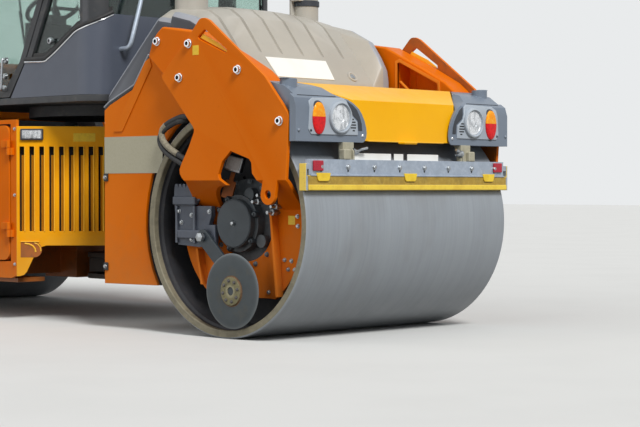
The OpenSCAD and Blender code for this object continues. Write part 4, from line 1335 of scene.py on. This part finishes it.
@dataclass
class EndCover:
    """Cover, lamp housings, lamps and scrapers at the outer end of one carriage."""

    machine: Machine
    end: End
    lens_face: float = 0.575
    # Height above which the end face leans back, and by how much per metre
    bend: float = 1.19
    lean: float = 0.3125
    # Where the scrapers' finishes change: x of the inner ones, z and y of beam and tray
    inner_reach: float = 2.3
    beam_top: float = 0.932
    beam_foot: float = 0.8485
    tray_end: float = 0.806
    # What the housing's round inner end leaves out: y, z
    round_end: Table = ((0.60, 1.40), (0.56, 1.30), (0.53, 1.268), (0.496, 1.252), (0.456, 1.238),
                        (0.42, 1.22), (0.39, 1.195), (0.366, 1.166), (0.346, 1.132),
                        (0.334, 1.098), (0.33, 1.07), (0.334, 1.045), (0.346, 1.027),
                        (0.366, 1.016), (0.366, 1.0), (0.28, 1.0), (0.28, 1.40))
    # Paler field round the lamps, and a dark plate beside it as painted shade in the recess: y, z
    field: Table = ((0.402, 1.056), (0.406, 1.126), (0.45, 1.158), (0.476, 1.232),
                    (0.5, 1.246), (0.725, 1.24), (0.757, 1.222), (0.768, 1.08), (0.748, 1.054))
    recess: Table = ((0.366, 1.08), (0.37, 1.115), (0.384, 1.152), (0.404, 1.184),
                     (0.43, 1.21), (0.468, 1.232), (0.446, 1.164), (0.4, 1.132), (0.394, 1.08))
    # Vents in the field: near and far end of each slit
    vents: Table = ((0.427, 0.445), (0.418, 0.46), (0.418, 0.464), (0.422, 0.468), (0.434, 0.468))

    def on_face(self, outline: Sequence[Point], back: float, front: float, edge: float = 0.0,
                ) -> Form:
        """A plate drawn in y and z on the end face, which leans back above its bend.

        Args:
            outline: corners in order.
            back: how far its back stands out of the face.
            front: how far its front stands out.
            edge: rounding of its edges.

        Returns:
            The form.
        """
        face = self.lens_face
        form = placed(plate(outline, face + back, face + front, edge), CROSSWISE)
        bmesh.ops.bisect_plane(form, geom=[*form.verts, *form.edges, *form.faces],
                               plane_co=(0, 0, self.bend), plane_no=(0, 0, 1))
        for vert in form.verts:
            vert.co.x -= max(vert.co.z - self.bend, 0.0) * self.lean
        return form

    def build(self) -> None:
        """Dresses the four nodes of the end and adds their fittings."""
        node, at = f"{self.end.value}_cover", [self.end.place]
        cover = self.machine.part_of(node, AMBER, 0.008, 3)
        # Turned lip under the cover, and the hand hold in its middle
        cover.add(block((0.548, -0.305, 1.026), (0.566, 0.305, 1.034), 0.003), AMBER, at)
        cover.add(hull([(u, s * y, z) for u, y, z in ((0.56, 0.07, 1.032), (0.598, 0.052, 1.028),
                                                      (0.56, 0.07, 1.018), (0.592, 0.048, 1.016))
                        for s in (-1, 1)], 0.004), AMBER, at)
        self.machine.finish(cover, node)
        self.housings()
        self.lamps()
        self.scrapers()

    def housings(self) -> None:
        """Rounds the moulded housings and adds field, a dark plate of painted shade in the recess,
        seam and vents.
        """
        node, face, at = f"{self.end.value}_lamp_housings", self.lens_face, self.end.both
        cutters = [placed(self.on_face(self.round_end, -0.17, 0.08), place) for place in at]
        form = soften(carve(self.machine.form_of(node), cutters), 0.022, 4)
        part = Part(f"{node}_dressed").add(form, ABS)
        part.add(self.on_face(self.field, -0.004, 0.006, 0.004), ABS_PALE, at)
        # Dark plate in the recess: painted shade
        part.add(self.on_face(self.recess, -0.004, 0.002, 0.001), ABS_DARK, at)
        # Seam between the housing and its lid
        part.add(tube([(0.54, 0.81, 1.2515), (0.54, 0.53, 1.2515)], 0.0025, 8), HOLLOW, at)
        # Vent slits drawn as near-black raised strips: painted shade
        for k, (near, far) in enumerate(self.vents):
            z = 1.076 + 0.0145 * k
            part.add(block((face + 0.003, near, z), (face + 0.0066, far, z + 0.0075), 0.001),
                     HOLLOW, at)
        for y, z, finish in ((0.364, 1.056, CHROME), (0.752, 1.074, ZINC), (0.835, 1.075, ABS)):
            knob = turned(lathe([(0, 0.006), (0.007, 0.006), (0.009, 0.0)], 20), (1, 0, 0))
            part.add(moved(knob, face, y, z), finish, at)
        cap = turned(lathe([(0, 0.004), (0.03, 0.004), (0.036, 0.0)], 32), (0, 0, 1))
        part.add(moved(cap, 0.44, 0.79, 1.338), ABS, at)
        self.machine.finish(part, node)

    def lamps(self) -> None:
        """Adds the round work lamp and the two-colour marker lamp of each side."""
        part, face, at = Part(f"{self.end.value}_lamp_sets"), self.lens_face, self.end.both
        bezel = lathe([(0.081, -0.02), (0.083, 0.006), (0.079, 0.013), (0.073, 0.0155),
                       (0.069, 0.01), (0.067, 0.002)], 64)
        bowl = lathe([(0.067, 0.003), (0.063, 0.0045), (0.06, 0.001), (0.046, 0.003),
                      (0.043, 0.0015), (0.029, 0.0035), (0.026, 0.001), (0.017, 0.001),
                      (0.015, 0.007), (0.0, 0.008)], 64)
        lens = lathe([(0.068, 0.003), (0.063, 0.009), (0.04, 0.0125), (0.0, 0.0135),
                      (0.0, 0.0105), (0.04, 0.0095), (0.063, 0.006), (0.068, 0.003)], 64)
        for form, finish in ((bezel, ABS_PALE), (bowl, MIRROR), (lens, LENS_CLEAR)):
            part.add(moved(turned(form, (1, 0, 0)), face + 0.006, 0.539, 1.144), finish, at)
        rear = self.end is End.REAR
        first, second = (LENS_AMBER, LENS_RED) if rear else (LENS_CLEAR, LENS_AMBER)
        # Marker lamp: a dark seat and an oval lens in two colours that meet in its middle
        part.add(self.oval(0.054, 0.09, face - 0.003, face + 0.0085), ABS_DARK, at)
        for finish, low, high in ((first, 0.008, 0.083), (second, -0.083, 0.008)):
            part.add(self.oval(0.047, 0.082, face + 0.004, face + 0.018, low, high), finish, at)
        part.done(self.end.carriage, "lens_red" if rear else "lens_clear",
                  (f"{self.end.value}_lamps",))

    def oval(self, half_y: float, half_z: float, back: float, front: float,
             low: float = -1.0, high: float = 1.0) -> Form:
        """An oval lens on the end face, cut between two heights.

        Args:
            half_y: half its width.
            half_z: half its height.
            back: u of its back.
            front: u of its front at its middle.
            low: lower cut, from its middle.
            high: upper cut, from its middle.

        Returns:
            The form.
        """
        points = []
        for share, depth in ((1.0, 0.0), (0.97, 0.5), (0.88, 0.8), (0.6, 1.0)):
            u = back + (front - back) * depth
            for k in range(48):
                a = 2 * pi * k / 48
                across = abs(cos(a)) ** 0.92 * (1 if cos(a) > 0 else -1)
                z = max(low, min(high, half_z * share * sin(a)))
                points.append((u, 0.695 + half_y * share * across, 1.137 + z))
        return hull(points)

    def scrapers(self) -> None:
        """Dresses beam, tray and brackets, and adds bolts, tabs and reflectors."""
        def zone(at: Vector, normal: Vector) -> int:
            """Tells beam, tray, cast bracket and inner scraper apart.

            Args:
                at: a face's middle.
                normal: the face's normal.

            Returns:
                Index of the finish.
            """
            if abs(at.x) < self.inner_reach:
                return 3
            if at.z > self.beam_top:
                return 2
            return 0 if at.z > self.beam_foot and abs(at.y) < self.tray_end else 1

        node, at, both = f"{self.end.value}_scrapers", [self.end.place], self.end.both
        part = self.machine.part_of(node, (GALVANISED, TRAY, PRIMED, CHASSIS), 0.002, pick=zone)
        # Bright lip under the tray, with the web above it in painted shade
        part.add(block((0.6055, -0.8, 0.775), (0.614, 0.8, 0.803), 0.004, 3), TRAY, at)
        part.add(block((0.6055, -0.8, 0.804), (0.6075, 0.8, 0.846), 0), TRAY_PAINTED_SHADE, at)
        part.add(block((0.598, -0.782, 0.845), (0.612, 0.782, 0.855), 0.004, 3), GALVANISED, at)
        # Screws on the beam, each with a near-black block under its head as painted shade
        for y in (-0.70, -0.5, -0.3, -0.1, 0.1, 0.3, 0.5, 0.70):
            head = turned(hex_bolt(0.014, 0.012), (1, 0, 0))
            part.add(moved(head, 0.6, y, 0.893), ZINC, at)
            part.add(block((0.5995, y - 0.004, 0.868), (0.6012, y + 0.004, 0.882), 0), HOLLOW, at)
        for y in (-0.694, -0.026, 0.637):
            tab = plate([(y - 0.052, 0.862), (y + 0.052, 0.862), (y + 0.042, 0.828),
                         (y + 0.034, 0.82), (y - 0.034, 0.82), (y - 0.042, 0.828)],
                        0.608, 0.616, 0.003)
            part.add(placed(tab, CROSSWISE), TRAY, at)
        part.add(block((0.6, 0.69, 0.872), (0.611, 0.762, 0.924), 0.004), REFLEX, both)
        # Pale strips that stand on the beam: painted light, standing for the sunlit drum seen just
        # above the beam
        for y0, y1 in ((-0.44, -0.136), (-0.112, -0.038), (-0.005, 0.25)):
            part.add(block((0.569, y0, 0.93), (0.572, y1, 0.965), 0.001), PLATE, at)
        # Levers and pivot pins on the brackets
        pin = lathe([(0, 0.40), (0.012, 0.40), (0.014, 0.404), (0.014, 0.43), (0.02, 0.432),
                     (0.02, 0.444)], 24)
        part.add(moved(pin, 0.575, 0, 0.972), ZINC, both)
        part.add(tube([(0.575, 0.41, 0.972), (0.6, 0.395, 0.985), (0.606, 0.36, 0.992)], 0.007),
                 ZINC, both)
        part.add(plate([(0.51, 1.03), (0.535, 1.036), (0.592, 0.975), (0.592, 0.93),
                        (0.565, 0.93), (0.56, 0.965)], 0.44, 0.452, 0.003), PRIMED, both)
        part.add(block((0.562, 0.478, 0.93), (0.604, 0.53, 0.985), 0.008, 3), PRIMED, both)
        self.machine.finish(part, node)


@dataclass
class EdgeCutter:
    """Edge cutter beside the rear drum: holder, arm, disc and hub."""

    machine: Machine
    disc_at: tuple[float, float] = (0.083, 0.252)
    holder_face: float = 0.73

    def build(self) -> None:
        """Dresses the three nodes and adds ribs, teeth, bolts and rust."""
        place, w = [End.REAR.place @ MIRROR_Y], self.holder_face
        holder = self.machine.part_of("edge_tool_holder", TOOL, 0.004)
        # Front plate with a serrated top, two cross ribs and the pivot's boss
        teeth = [(-0.466 + 0.031 * k + dx, 0.786 + dz) for k in range(8)
                 for dx, dz in ((0.0, 0.0), (0.007, 0.022), (0.024, 0.022))]
        holder.add(plate([(-0.47, 0.70), *teeth, (-0.215, 0.786), (-0.235, 0.745),
                          (-0.31, 0.69), (-0.46, 0.69)], w - 0.012, w + 0.004), TOOL, place)
        for z, u0, u1 in ((0.718, -0.462, -0.283), (0.538, -0.425, -0.247)):
            holder.add(block((u0, w - 0.006, z - 0.022), (u1, w + 0.022, z + 0.022), 0.006, 3),
                       TOOL, place)
        for u in (-0.44, -0.3):
            holder.add(block((u - 0.008, w - 0.004, 0.49), (u + 0.008, w + 0.014, 0.69), 0.003),
                       TOOL, place)
        for u, z in ((-0.43, 0.66), (-0.33, 0.64), (-0.41, 0.6), (-0.33, 0.51), (-0.19, 0.66)):
            holder.add(moved(hex_bolt(0.013, 0.011), u, w, z), ZINC, place)
        holder.add(moved(lathe([(0.0, 0.79), (0.02, 0.79), (0.026, 0.784), (0.026, 0.765),
                                (0.02, 0.763)], 6), -0.215, 0, 0.525), ZINC, place)
        self.machine.finish(holder, "edge_tool_holder")
        self.machine.dress("edge_arm", MOTOR)
        self.disc(place)

    def disc(self, place: list[Matrix]) -> None:
        """Turns the disc with its sharpened rim, rust halo and bolted hub.

        Args:
            place: frame of the cutter's side.
        """
        part = Part("cutting_disc_ground")
        form = lathe([(0.0225, 0.816), (0.188, 0.816), (0.196, 0.8215), (0.196, 0.823),
                      (0.182, 0.8282), (0.12, 0.8282), (0.082, 0.8285), (0.0765, 0.8285),
                      (0.074, 0.836), (0.07, 0.838), (0.04, 0.838), (0.0225, 0.838),
                      (0.0225, 0.816)], 96, (0, 0, 0, 0, 0, 0, 1, 1, 2, 2, 2, 2))
        u, z = self.disc_at
        part.add(moved(form, u, 0, z), (DISC, RUST, HUB), place)
        part.bolt_circle(8, 0.055, (u, 0.838, z), 0.2, (0.0095, 0.008), CHASSIS, place)
        part.done("cutter_disc", "disc_steel", ("cutting_disc",))


@dataclass
class FrontBody:
    """Front carriage between pivot and drum: panels, grilles, doors, tank and skids."""

    machine: Machine
    corner: tuple[float, float] = (0.078, 0.8)
    nose: tuple[float, float] = (0.44, 0.418)
    slot_pitch: float = 0.058
    slot_width: float = 0.028
    slots: int = 9
    foot_top: float = 0.46

    def build(self) -> None:
        """Dresses the nodes and adds louvres, lamps, seams and labels."""
        machine = self.machine
        machine.dress("front_frame", CHASSIS)
        # Below foot_top the body takes the orange in painted shade
        machine.dress("front_body", (CHASSIS, ORANGE_PAINTED_SHADE),
                      pick=lambda at, normal: int(at.z < self.foot_top))
        machine.dress("front_tank", ORANGE, 0.02, 4)
        panels = machine.part_of("front_side_panels", ORANGE)
        for z in (0.335, 0.744, 1.135):
            panels.add(moved(hex_bolt(0.01, 0.008), 0.055, 0.8, z), ZINC, SIDES)
        machine.finish(panels, "front_side_panels")
        for side in Side:
            node, y = f"service_door_{side.word}", side.value
            part = machine.part_of(node, ORANGE, 0.004)
            latch = turned(lathe([(0, 0.007), (0.016, 0.007), (0.018, 0.003), (0.026, 0.003),
                                  (0.028, 0.0)], 28, (1, 1, 0, 0)), (0, y, 0))
            part.add(moved(latch, -0.54, y * 0.806, 0.76), (ABS_DARK, ZINC))
            # Pressed bead that follows the door's edge
            ring = [(-0.50, 0.43), (-0.50, 1.085), (-0.09, 1.085), (-0.09, 0.43)]
            core = [(-0.488, 0.442), (-0.488, 1.073), (-0.102, 1.073), (-0.102, 0.442)]
            part.add(plate(ring, y * 0.8055, y * 0.8095, 0.0015, [core]), ORANGE)
            machine.finish(part, node)
        self.grilles()

    def on_chamfer(self) -> list[Matrix]:
        """Works out the frame of each corner panel.

        Returns:
            Frames with x along the chamfer and y outwards from its face.
        """
        dx, dy = self.nose[0] - self.corner[0], self.nose[1] - self.corner[1]
        at = Matrix.Translation((*self.corner, 0)) @ Matrix.Rotation(atan2(dy, dx), 4, "Z")
        return [at, MIRROR_Y @ at]

    def grilles(self) -> None:
        """Adds the louvres behind the slots, the marker lamp and the handhold."""
        part = self.machine.part_of("front_grilles", AMBER_DEEP)
        at = self.on_chamfer()
        length = hypot(self.nose[0] - self.corner[0], self.nose[1] - self.corner[1])
        # Near-black sheet behind the slots: painted shade
        part.add(block((0.0, -0.05, 0.5), (length - 0.02, -0.046, 1.06), 0), HOLLOW, at)
        for k in range(self.slots):
            x = 0.014 + k * self.slot_pitch
            # Louvre pressed inwards, curved across its width, short of the slot's top
            arc = [(x + self.slot_width * (1 - 0.66 * t), -0.002 - 0.03 * sin(pi * 0.5 * t))
                   for t in (0, 0.25, 0.5, 0.75, 1.0)]
            back = [(u + 0.003, w - 0.002) for u, w in reversed(arc)]
            louvre = skinned([(u, w, z) for u, w in arc + back] for z in (0.53, 0.98))
            part.add(louvre, AMBER_DEEP, at)
            # Lifted frame on one side of the slot, in the brighter amber as a painted highlight
            part.add(block((x + self.slot_width, -0.001, 0.528),
                           (x + self.slot_width + 0.006, 0.005, 1.032)), AMBER, at)
        # Handhold drawn flat: a D-shaped plate in painted shade with a flat front and a round
        # back, two bowed amber tubes on it as painted highlights along its rim, and an amber strip
        # along its top
        recess = [(0.02, 0.376), (0.02, 0.466), (0.1, 0.466)]
        recess += [(0.1 + 0.045 * cos(a), 0.421 + 0.045 * sin(a))
                   for a in (pi / 2 - pi * k / 8 for k in range(1, 9))]
        part.add(plate(recess, -0.002, 0.001, 0), ORANGE_PAINTED_SHADE, at)
        for width, highlight_bow in ((0.0055, ((0.044, 0.458), (0.071, 0.4535), (0.091, 0.4435),
                                     (0.104, 0.427), (0.108, 0.4075))),
                           (0.0035, ((0.1, 0.4615), (0.1216, 0.4525), (0.135, 0.4345),
                                     (0.1385, 0.412)))):
            part.add(tube([(u, 0.0, z) for u, z in highlight_bow], width), AMBER, at)
        part.add(block((0.02, -0.001, 0.466), (0.13, 0.006, 0.472)), AMBER, at)
        self.machine.finish(part, "front_grilles")
        lamp = Part("front_marker_lamps")
        lamp.add(block((0.02, 0.0, 1.068), (0.155, 0.018, 1.135), 0.006, 3), ABS_DARK, at)
        lamp.add(block((0.03, 0.014, 1.078), (0.145, 0.026, 1.125), 0.005, 3), LENS_CLEAR, at)
        lamp.add(block((0.03, 0.012, 1.078), (0.145, 0.018, 1.125), 0), MIRROR, at)
        lamp.add(block((0.33, 0.0, 1.06), (0.46, 0.001, 1.11), 0), LABEL, at)
        lamp.done("front_carriage", "lens_clear")


@dataclass
class Cab:
    """Cab: base, walls, pillars, glass, doors, roof and what is inside."""

    machine: Machine
    # Rising arc of the rear side window's sill, from the rear wall and the level sill
    arc: Table = ((-0.46, -0.005), (-0.41, 0.01), (-0.36, 0.035), (-0.31, 0.063),
                  (-0.26, 0.093), (-0.21, 0.122), (-0.15, 0.155), (-0.1, 0.183),
                  (-0.05, 0.213), (0.0, 0.248))
    half_width: float = 0.74
    rear: float = 0.71
    corner: float = 0.15
    sill: float = 1.535

    def build(self) -> None:
        """Dresses the cab's nodes and adds seals, handles, lamps and wipers."""
        machine = self.machine
        machine.dress("cab_base", CHASSIS, 0.004)
        machine.dress("cab_walls", SLATE, 0.006, 3)
        machine.dress("cab_pillars", CHASSIS, 0.004)
        machine.dress("cab_roof", ROOF, 0.012, 3)
        machine.dress("cab_glass", GLASS, 0.0)
        for side in Side:
            machine.dress(f"cab_door_{side.word}", CHASSIS, 0.004)
            machine.dress(f"door_glass_{side.word}", GLASS, 0.0)
        machine.dress("steering_console", INTERIOR, 0.0)
        self.trims()
        rail = smooth_path([(0.708, -0.4, 1.99), (0.75, -0.405, 1.985), (0.775, -0.43, 1.9),
                            (0.79, -0.5, 1.7), (0.78, -0.53, 1.6), (0.708, -0.535, 1.585)])
        bar = Part("cab_grab_rail").add(tube(rail, 0.013, 16), GALVANISED)
        bar.done("rear_carriage", "frame_black")
        self.seat()

    def on_skin(self, x: float, z: float, proud: float) -> tuple[float, float, float]:
        """Finds a point on the cab's side skin, which turns round the rear corner.

        Args:
            x: how far along it lies, measured along the skin past the corner's start.
            z: its height.
            proud: how far it stands out of the skin.

        Returns:
            The point.
        """
        radius, ahead = self.corner + proud, x - (self.rear - self.corner)
        if ahead <= 0:
            return (x, self.half_width + proud, z)
        turn = min(ahead / self.corner, 1.0) * pi / 2
        return (self.rear - self.corner + radius * sin(turn),
                self.half_width - self.corner + radius * cos(turn), z)

    def trims(self) -> None:
        """Adds the bright trim on the sill, the window seal and its knob on both sides."""
        part = Part("cab_trims")
        line = [(0.075, self.sill), *((self.rear + u, self.sill + z) for u, z in self.arc)]
        for lift, proud, radius, finish in ((-0.004, 0.001, 0.005, CHROME),
                                            (0.012, -0.004, 0.014, RUBBER)):
            path = smooth_path([self.on_skin(x, z + lift, proud) for x, z in line], 4)
            part.add(tube(path, radius, 10), finish, SIDES)
        # Wide rubber band between the seal and the open glass
        section = ((0.0, -0.006), (0.048, -0.006), (0.048, -0.013), (0.0, -0.013))
        band = skinned([self.on_skin(p.x, p.z + up, proud) for up, proud in section]
                       for p in smooth_path([(x, 0, z) for x, z in line], 4))
        part.add(band, RUBBER, SIDES)
        knob = lathe([(0.0, 0.756), (0.008, 0.756), (0.009, 0.76), (0.018, 0.757), (0.02, 0.748),
                      (0.018, 0.737), (0.01, 0.733), (0.01, 0.723)], 32,
                     (0, 0, 1, 1, 1, 0, 0))
        part.add(moved(knob, 0.33, 0, 1.642), (ABS_DARK, ZINC), SIDES)
        part.done("rear_carriage", "frame_black")
        self.lamps()
        for side in Side:
            grip, y, skin = Part(f"door_grip_{side.word}"), side.value, self.half_width
            path = smooth_path([(x, y * (skin + proud), z) for x, proud, z in (
                (-0.115, 0.0, 1.37), (-0.113, 0.032, 1.376), (-0.105, 0.038, 1.40),
                (-0.096, 0.038, 1.53), (-0.094, 0.032, 1.553), (-0.093, 0.0, 1.56))])
            grip.add(tube(path, 0.008, 14), ZINC)
            for z in (1.385, 1.455, 1.545):
                boss = turned(lathe([(0, 0.02), (0.012, 0.02), (0.016, 0.016), (0.018, 0)], 28),
                              (0, y, 0))
                grip.add(moved(boss, -0.12 + (z - 1.37) * 0.1, y * skin, z), ZINC)
            grip.done(f"door_{side.word}", "frame_black")

    def lamps(self) -> None:
        """Adds work lamps, wipers and mirrors at the front and rear of the cab."""
        part = Part("cab_lamps_and_wipers")
        for x, facing in ((-0.93, -1), (0.735, 1)):
            for y in (-0.5, 0.5):
                part.add(block((x, y - 0.065, 2.775), (x + facing * 0.05, y + 0.065, 2.848),
                               0.012, 3), ABS_DARK)
                part.add(block((x + facing * 0.048, y - 0.055, 2.783),
                               (x + facing * 0.056, y + 0.055, 2.839), 0.004, 3), FROSTED)
        for x, y, z, facing in ((-0.9, 0.08, 1.45, -1), (0.71, 0.1, 1.80, 1)):
            out = x + facing * 0.012
            arm = smooth_path([(out, y, z), (out + facing * 0.012, y - 0.05, z + 0.2),
                               (out, y - 0.12, z + 0.5)])
            part.add(tube(arm, 0.006, 10), ABS_DARK)
            part.add(tube([(out, y - 0.07, z + 0.24), (out, y - 0.15, z + 0.78)], 0.007, 8),
                     RUBBER)
            boss = turned(lathe([(0, 0.03), (0.016, 0.03), (0.024, 0.022), (0.024, -0.02)], 28),
                          (facing, 0, 0))
            part.add(moved(boss, x, y, z), ABS_DARK)
        for y in (side.value for side in Side):
            bar = smooth_path([(-0.88, y * 0.735, 2.45), (-0.91, y * 0.775, 2.46),
                               (-0.92, y * 0.80, 2.40), (-0.92, y * 0.80, 2.05)])
            part.add(tube(bar, 0.008, 12), CHASSIS)
            part.add(block((-0.945, y * 0.735, 2.08), (-0.92, y * 0.865, 2.36), 0.012, 4),
                     ABS_DARK)
            part.add(block((-0.922, y * 0.745, 2.095), (-0.917, y * 0.855, 2.345)), GLAZED)
        part.done("rear_carriage", "frame_black")

    def seat(self) -> None:
        """Adds the crowned cushions with their piping, and the ribbed boot under them."""
        part = Part("seat_cushions")
        lying = Matrix.Translation((0.11, 0, 1.545))
        upright = Matrix(((0, 0, -1, 0.315), (0, 1, 0, 0), (1, 0, 0, 1.875), (0, 0, 0, 1)))
        for half_x, half_y, place in ((0.23, 0.243, lying), (0.265, 0.235, upright)):
            form, border = self.cushion(half_x, half_y)
            part.add(form, WEAVE, [place])
            part.add(tube(border, 0.005, 8), INTERIOR, [place])
        self.machine.finish(part, "seat", crease=60.0)
        base = Part("seat_base")
        for k in range(5):
            inset = 0.012 * (k % 2)
            base.add(block((-0.05 + inset, -0.19 + inset, 1.326 + 0.033 * k),
                           (0.28 - inset, 0.19 - inset, 1.361 + 0.033 * k), 0.014, 3), RUBBER)
        base.add(hull([(x, y, z) for x, z in ((0.3, 1.47), (0.345, 1.49), (0.35, 1.7), (0.36, 1.7))
                       for y in (-0.05, 0.05)], 0.004), INTERIOR)
        base.done("rear_carriage", self.machine.slots["seat"])

    def cushion(self, half_x: float, half_y: float, steps: int = 28,
                ) -> tuple[Form, list[tuple[float, float, float]]]:
        """Shapes a crowned cushion whose sides pull in, with two sewn channels along it.

        Args:
            half_x: half its length.
            half_y: half its width.
            steps: faces along each side.

        Returns:
            The closed form, and the line of its border for the piping.
        """
        form = bmesh.new()
        layers = {}
        for face in (1, -1):
            for i in range(steps + 1):
                for j in range(steps + 1):
                    s, t = 2 * i / steps - 1, 2 * j / steps - 1
                    border = max(abs(s), abs(t)) > 0.999
                    if border and face < 0:
                        layers[i, j, face] = layers[i, j, 1]
                        continue
                    full = ((1 - s ** 6) * (1 - t ** 6)) ** 0.5
                    crown = 0.036 + 0.014 * (1 - s * s) * (1 - t * t)
                    sewn = sum(0.014 * exp(-((t - at) / 0.05) ** 2) for at in (-0.38, 0.38))
                    high = full * (crown - sewn) if face > 0 else -0.042 * min(full * 1.4, 1.0)
                    layers[i, j, face] = form.verts.new(
                        (half_x * s * (1 - 0.06 * (1 - t * t)),
                         half_y * t * (1 - 0.06 * (1 - s * s)), high))
        for face in (1, -1):
            for i in range(steps):
                for j in range(steps):
                    form.faces.new([layers[i + di, j + dj, face]
                                    for di, dj in ((0, 0), (1, 0), (1, 1), (0, 1))])
        bmesh.ops.recalc_face_normals(form, faces=form.faces)
        ring = [(i, 0) for i in range(steps)] + [(steps, j) for j in range(steps)]
        ring += [(steps - i, steps) for i in range(steps)] + [(0, steps - j) for j in range(steps)]
        return form, [tuple(layers[i, j, 1].co) for i, j in ring + ring[:1]]


@dataclass
class Hoses:
    """Hydraulic hoses from the deck over the drum's rim to the yoke's lower plate."""

    end: End
    radius: float = 0.015
    drum_end: float = 0.8
    # First and last point of the sleeve on the smooth path
    sleeved: tuple[int, int] = (24, 40)
    # u, distance outwards from the drum's end, z and share of the spread
    start: Table = ((-0.305, -0.14, 1.175, 0), (-0.305, -0.1, 1.166, 0), (-0.305, 0.002, 1.146, 0),
                    (-0.37, 0.01, 1.136, 0.4), (-0.45, 0.022, 1.095, 0.8))
    finish: Table = ((-0.48, 0.024, 1.04, 1), (-0.43, 0.022, 0.975, 1), (-0.3, -0.002, 0.9, 1),
                     (-0.3, -0.07, 0.85, 0.6), (-0.345, -0.18, 0.72, 0),
                     (-0.32, -0.208, 0.6, 0), (-0.28, -0.178, 0.578, 0))

    def route(self, index: int) -> list[tuple[float, float, float]]:
        """Spreads the points that one hose passes.

        Args:
            index: 0 or 1, the hose's number on its side.

        Returns:
            Its points in u, y and z.
        """
        points = []
        for table, ends in ((self.start, (0.04, 0.022)), (self.finish, (0.0, 0.04))):
            for u, w, z, share in table:
                points.append((u + index * (0.014 * share + ends[0] * (1 - share)),
                               self.drum_end + w,
                               z + index * (0.03 * share + ends[1] * (1 - share))))
        return points

    def build(self) -> None:
        """Runs two hoses on each side, with sleeves."""
        part = Part(f"{self.end.value}_hose_runs")
        for place in self.end.both:
            for index in range(2):
                path = smooth_path(self.route(index))
                part.add(tube(path, self.radius, 14), RUBBER, [place])
                if index:
                    sleeve = tube(path[slice(*self.sleeved)], self.radius + 0.002, 14)
                    part.add(sleeve, SLEEVE, [place])
        part.done(self.end.carriage, "hose_rubber", (f"{self.end.value}_hoses",))


@dataclass
class Studio:
    """Pale floor, plain soft light and the camera at the photograph's view."""

    # Fitted to the near drum's rim and axle in the photograph
    camera_at: Point = (8.62, -7.162, 0.788)
    camera_turn: Point = (89.166, 0, 43.66)
    lens_mm: float = 100.06
    # Lamps: name, strength, spread and turn in degrees
    suns: tuple = (("key", 2.75, 18, (46, 0, 70)), ("fill", 0.8, 70, (62, 0, -22)))
    # Strengths of the sky as light and as seen
    sky: tuple[float, float] = (0.37, 1.0)
    floor_m: float = 120

    def build(self) -> None:
        """Sets up everything round the machine."""
        scene = bpy.context.scene
        scene.view_settings.view_transform = "Standard"
        self.floor()
        self.world(scene)
        for name, strength, spread, turn in self.suns:
            lamp = bpy.data.lights.new(name, "SUN")
            lamp.energy, lamp.angle = strength, radians(spread)
            held = bpy.data.objects.new(name, lamp)
            held.rotation_euler = [radians(t) for t in turn]
            scene.collection.objects.link(held)
        lens = bpy.data.cameras.new("view")
        lens.lens, lens.sensor_width, lens.clip_end = self.lens_mm, 36.0, 200.0
        camera = bpy.data.objects.new("view", lens)
        camera.location = self.camera_at
        camera.rotation_euler = [radians(t) for t in self.camera_turn]
        scene.collection.objects.link(camera)
        scene.camera = camera

    def floor(self) -> None:
        """Lays a pale floor that keeps the machine's shadow."""
        bpy.ops.mesh.primitive_plane_add(size=self.floor_m, location=(0, 0, 0))
        floor = bpy.context.object
        floor.name = "floor"
        # Painted concrete, matt and nearly even: pale where it is seen, but it throws back
        # only what a dark ground would
        made = Finish("pale_studio_floor", "#D8D8D5", 0.9,
                      tones=(Tone("#D2D2CF", 900, 0.4),), rough_swing=0.0).material()
        tree = made.node_tree
        shader = tree.nodes["Principled BSDF"]
        pale = shader.inputs["Base Color"].links[0].from_socket
        color = add_node(tree, "ShaderNodeMix", {"data_type": "RGBA", 6: linear("#76736E")},
                         {0: self.seen(tree), 7: pale}).outputs[2]
        tree.links.new(color, shader.inputs["Base Color"])
        floor.data.materials.append(made)

    def seen(self, tree: Tree) -> Socket:
        """Tells the rays that show a surface from those that only light others.

        Args:
            tree: node tree that gets the nodes.

        Returns:
            1 for rays from the camera, off gloss and through glass, and 0 for the others.
        """
        ray = add_node(tree, "ShaderNodeLightPath").outputs
        seen = ray["Is Camera Ray"]
        for other in ("Is Glossy Ray", "Is Transmission Ray"):
            seen = add_node(tree, "ShaderNodeMath", {"operation": "MAXIMUM"},
                            {0: seen, 1: ray[other]}).outputs[0]
        return seen

    def world(self, scene: bpy.types.Scene) -> None:
        """Lights the machine evenly and shows a near-white background.

        Args:
            scene: the scene that gets the world.
        """
        world = bpy.data.worlds.new("studio")
        scene.world = world
        world.use_nodes = True
        tree = world.node_tree
        tree.nodes.clear()
        out = add_node(tree, "ShaderNodeOutputWorld")
        light, shown = (add_node(tree, "ShaderNodeBackground",
                                 {"Color": linear(color), "Strength": strength}).outputs[0]
                        for color, strength in zip(("#F4F6FA", "#E9EBEC"), self.sky))
        mixed = add_node(tree, "ShaderNodeMixShader", {},
                         {0: self.seen(tree), 1: light, 2: shown})
        tree.links.new(mixed.outputs[0], out.inputs[0])


def main() -> None:
    """Builds the studio and every sub-assembly in order."""
    logging.basicConfig(level=logging.INFO, format="%(message)s")
    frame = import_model()
    machine = Machine(frame)
    Studio().build()
    for end in End:
        for piece in (Drum(end), Yoke(machine, end), EndCover(machine, end), Hoses(end)):
            piece.build()
    for piece in (FrameBody(machine), EdgeCutter(machine), Hood(), FrontBody(machine),
                  Cab(machine)):
        piece.build()


if __name__ == "__main__":
    main()
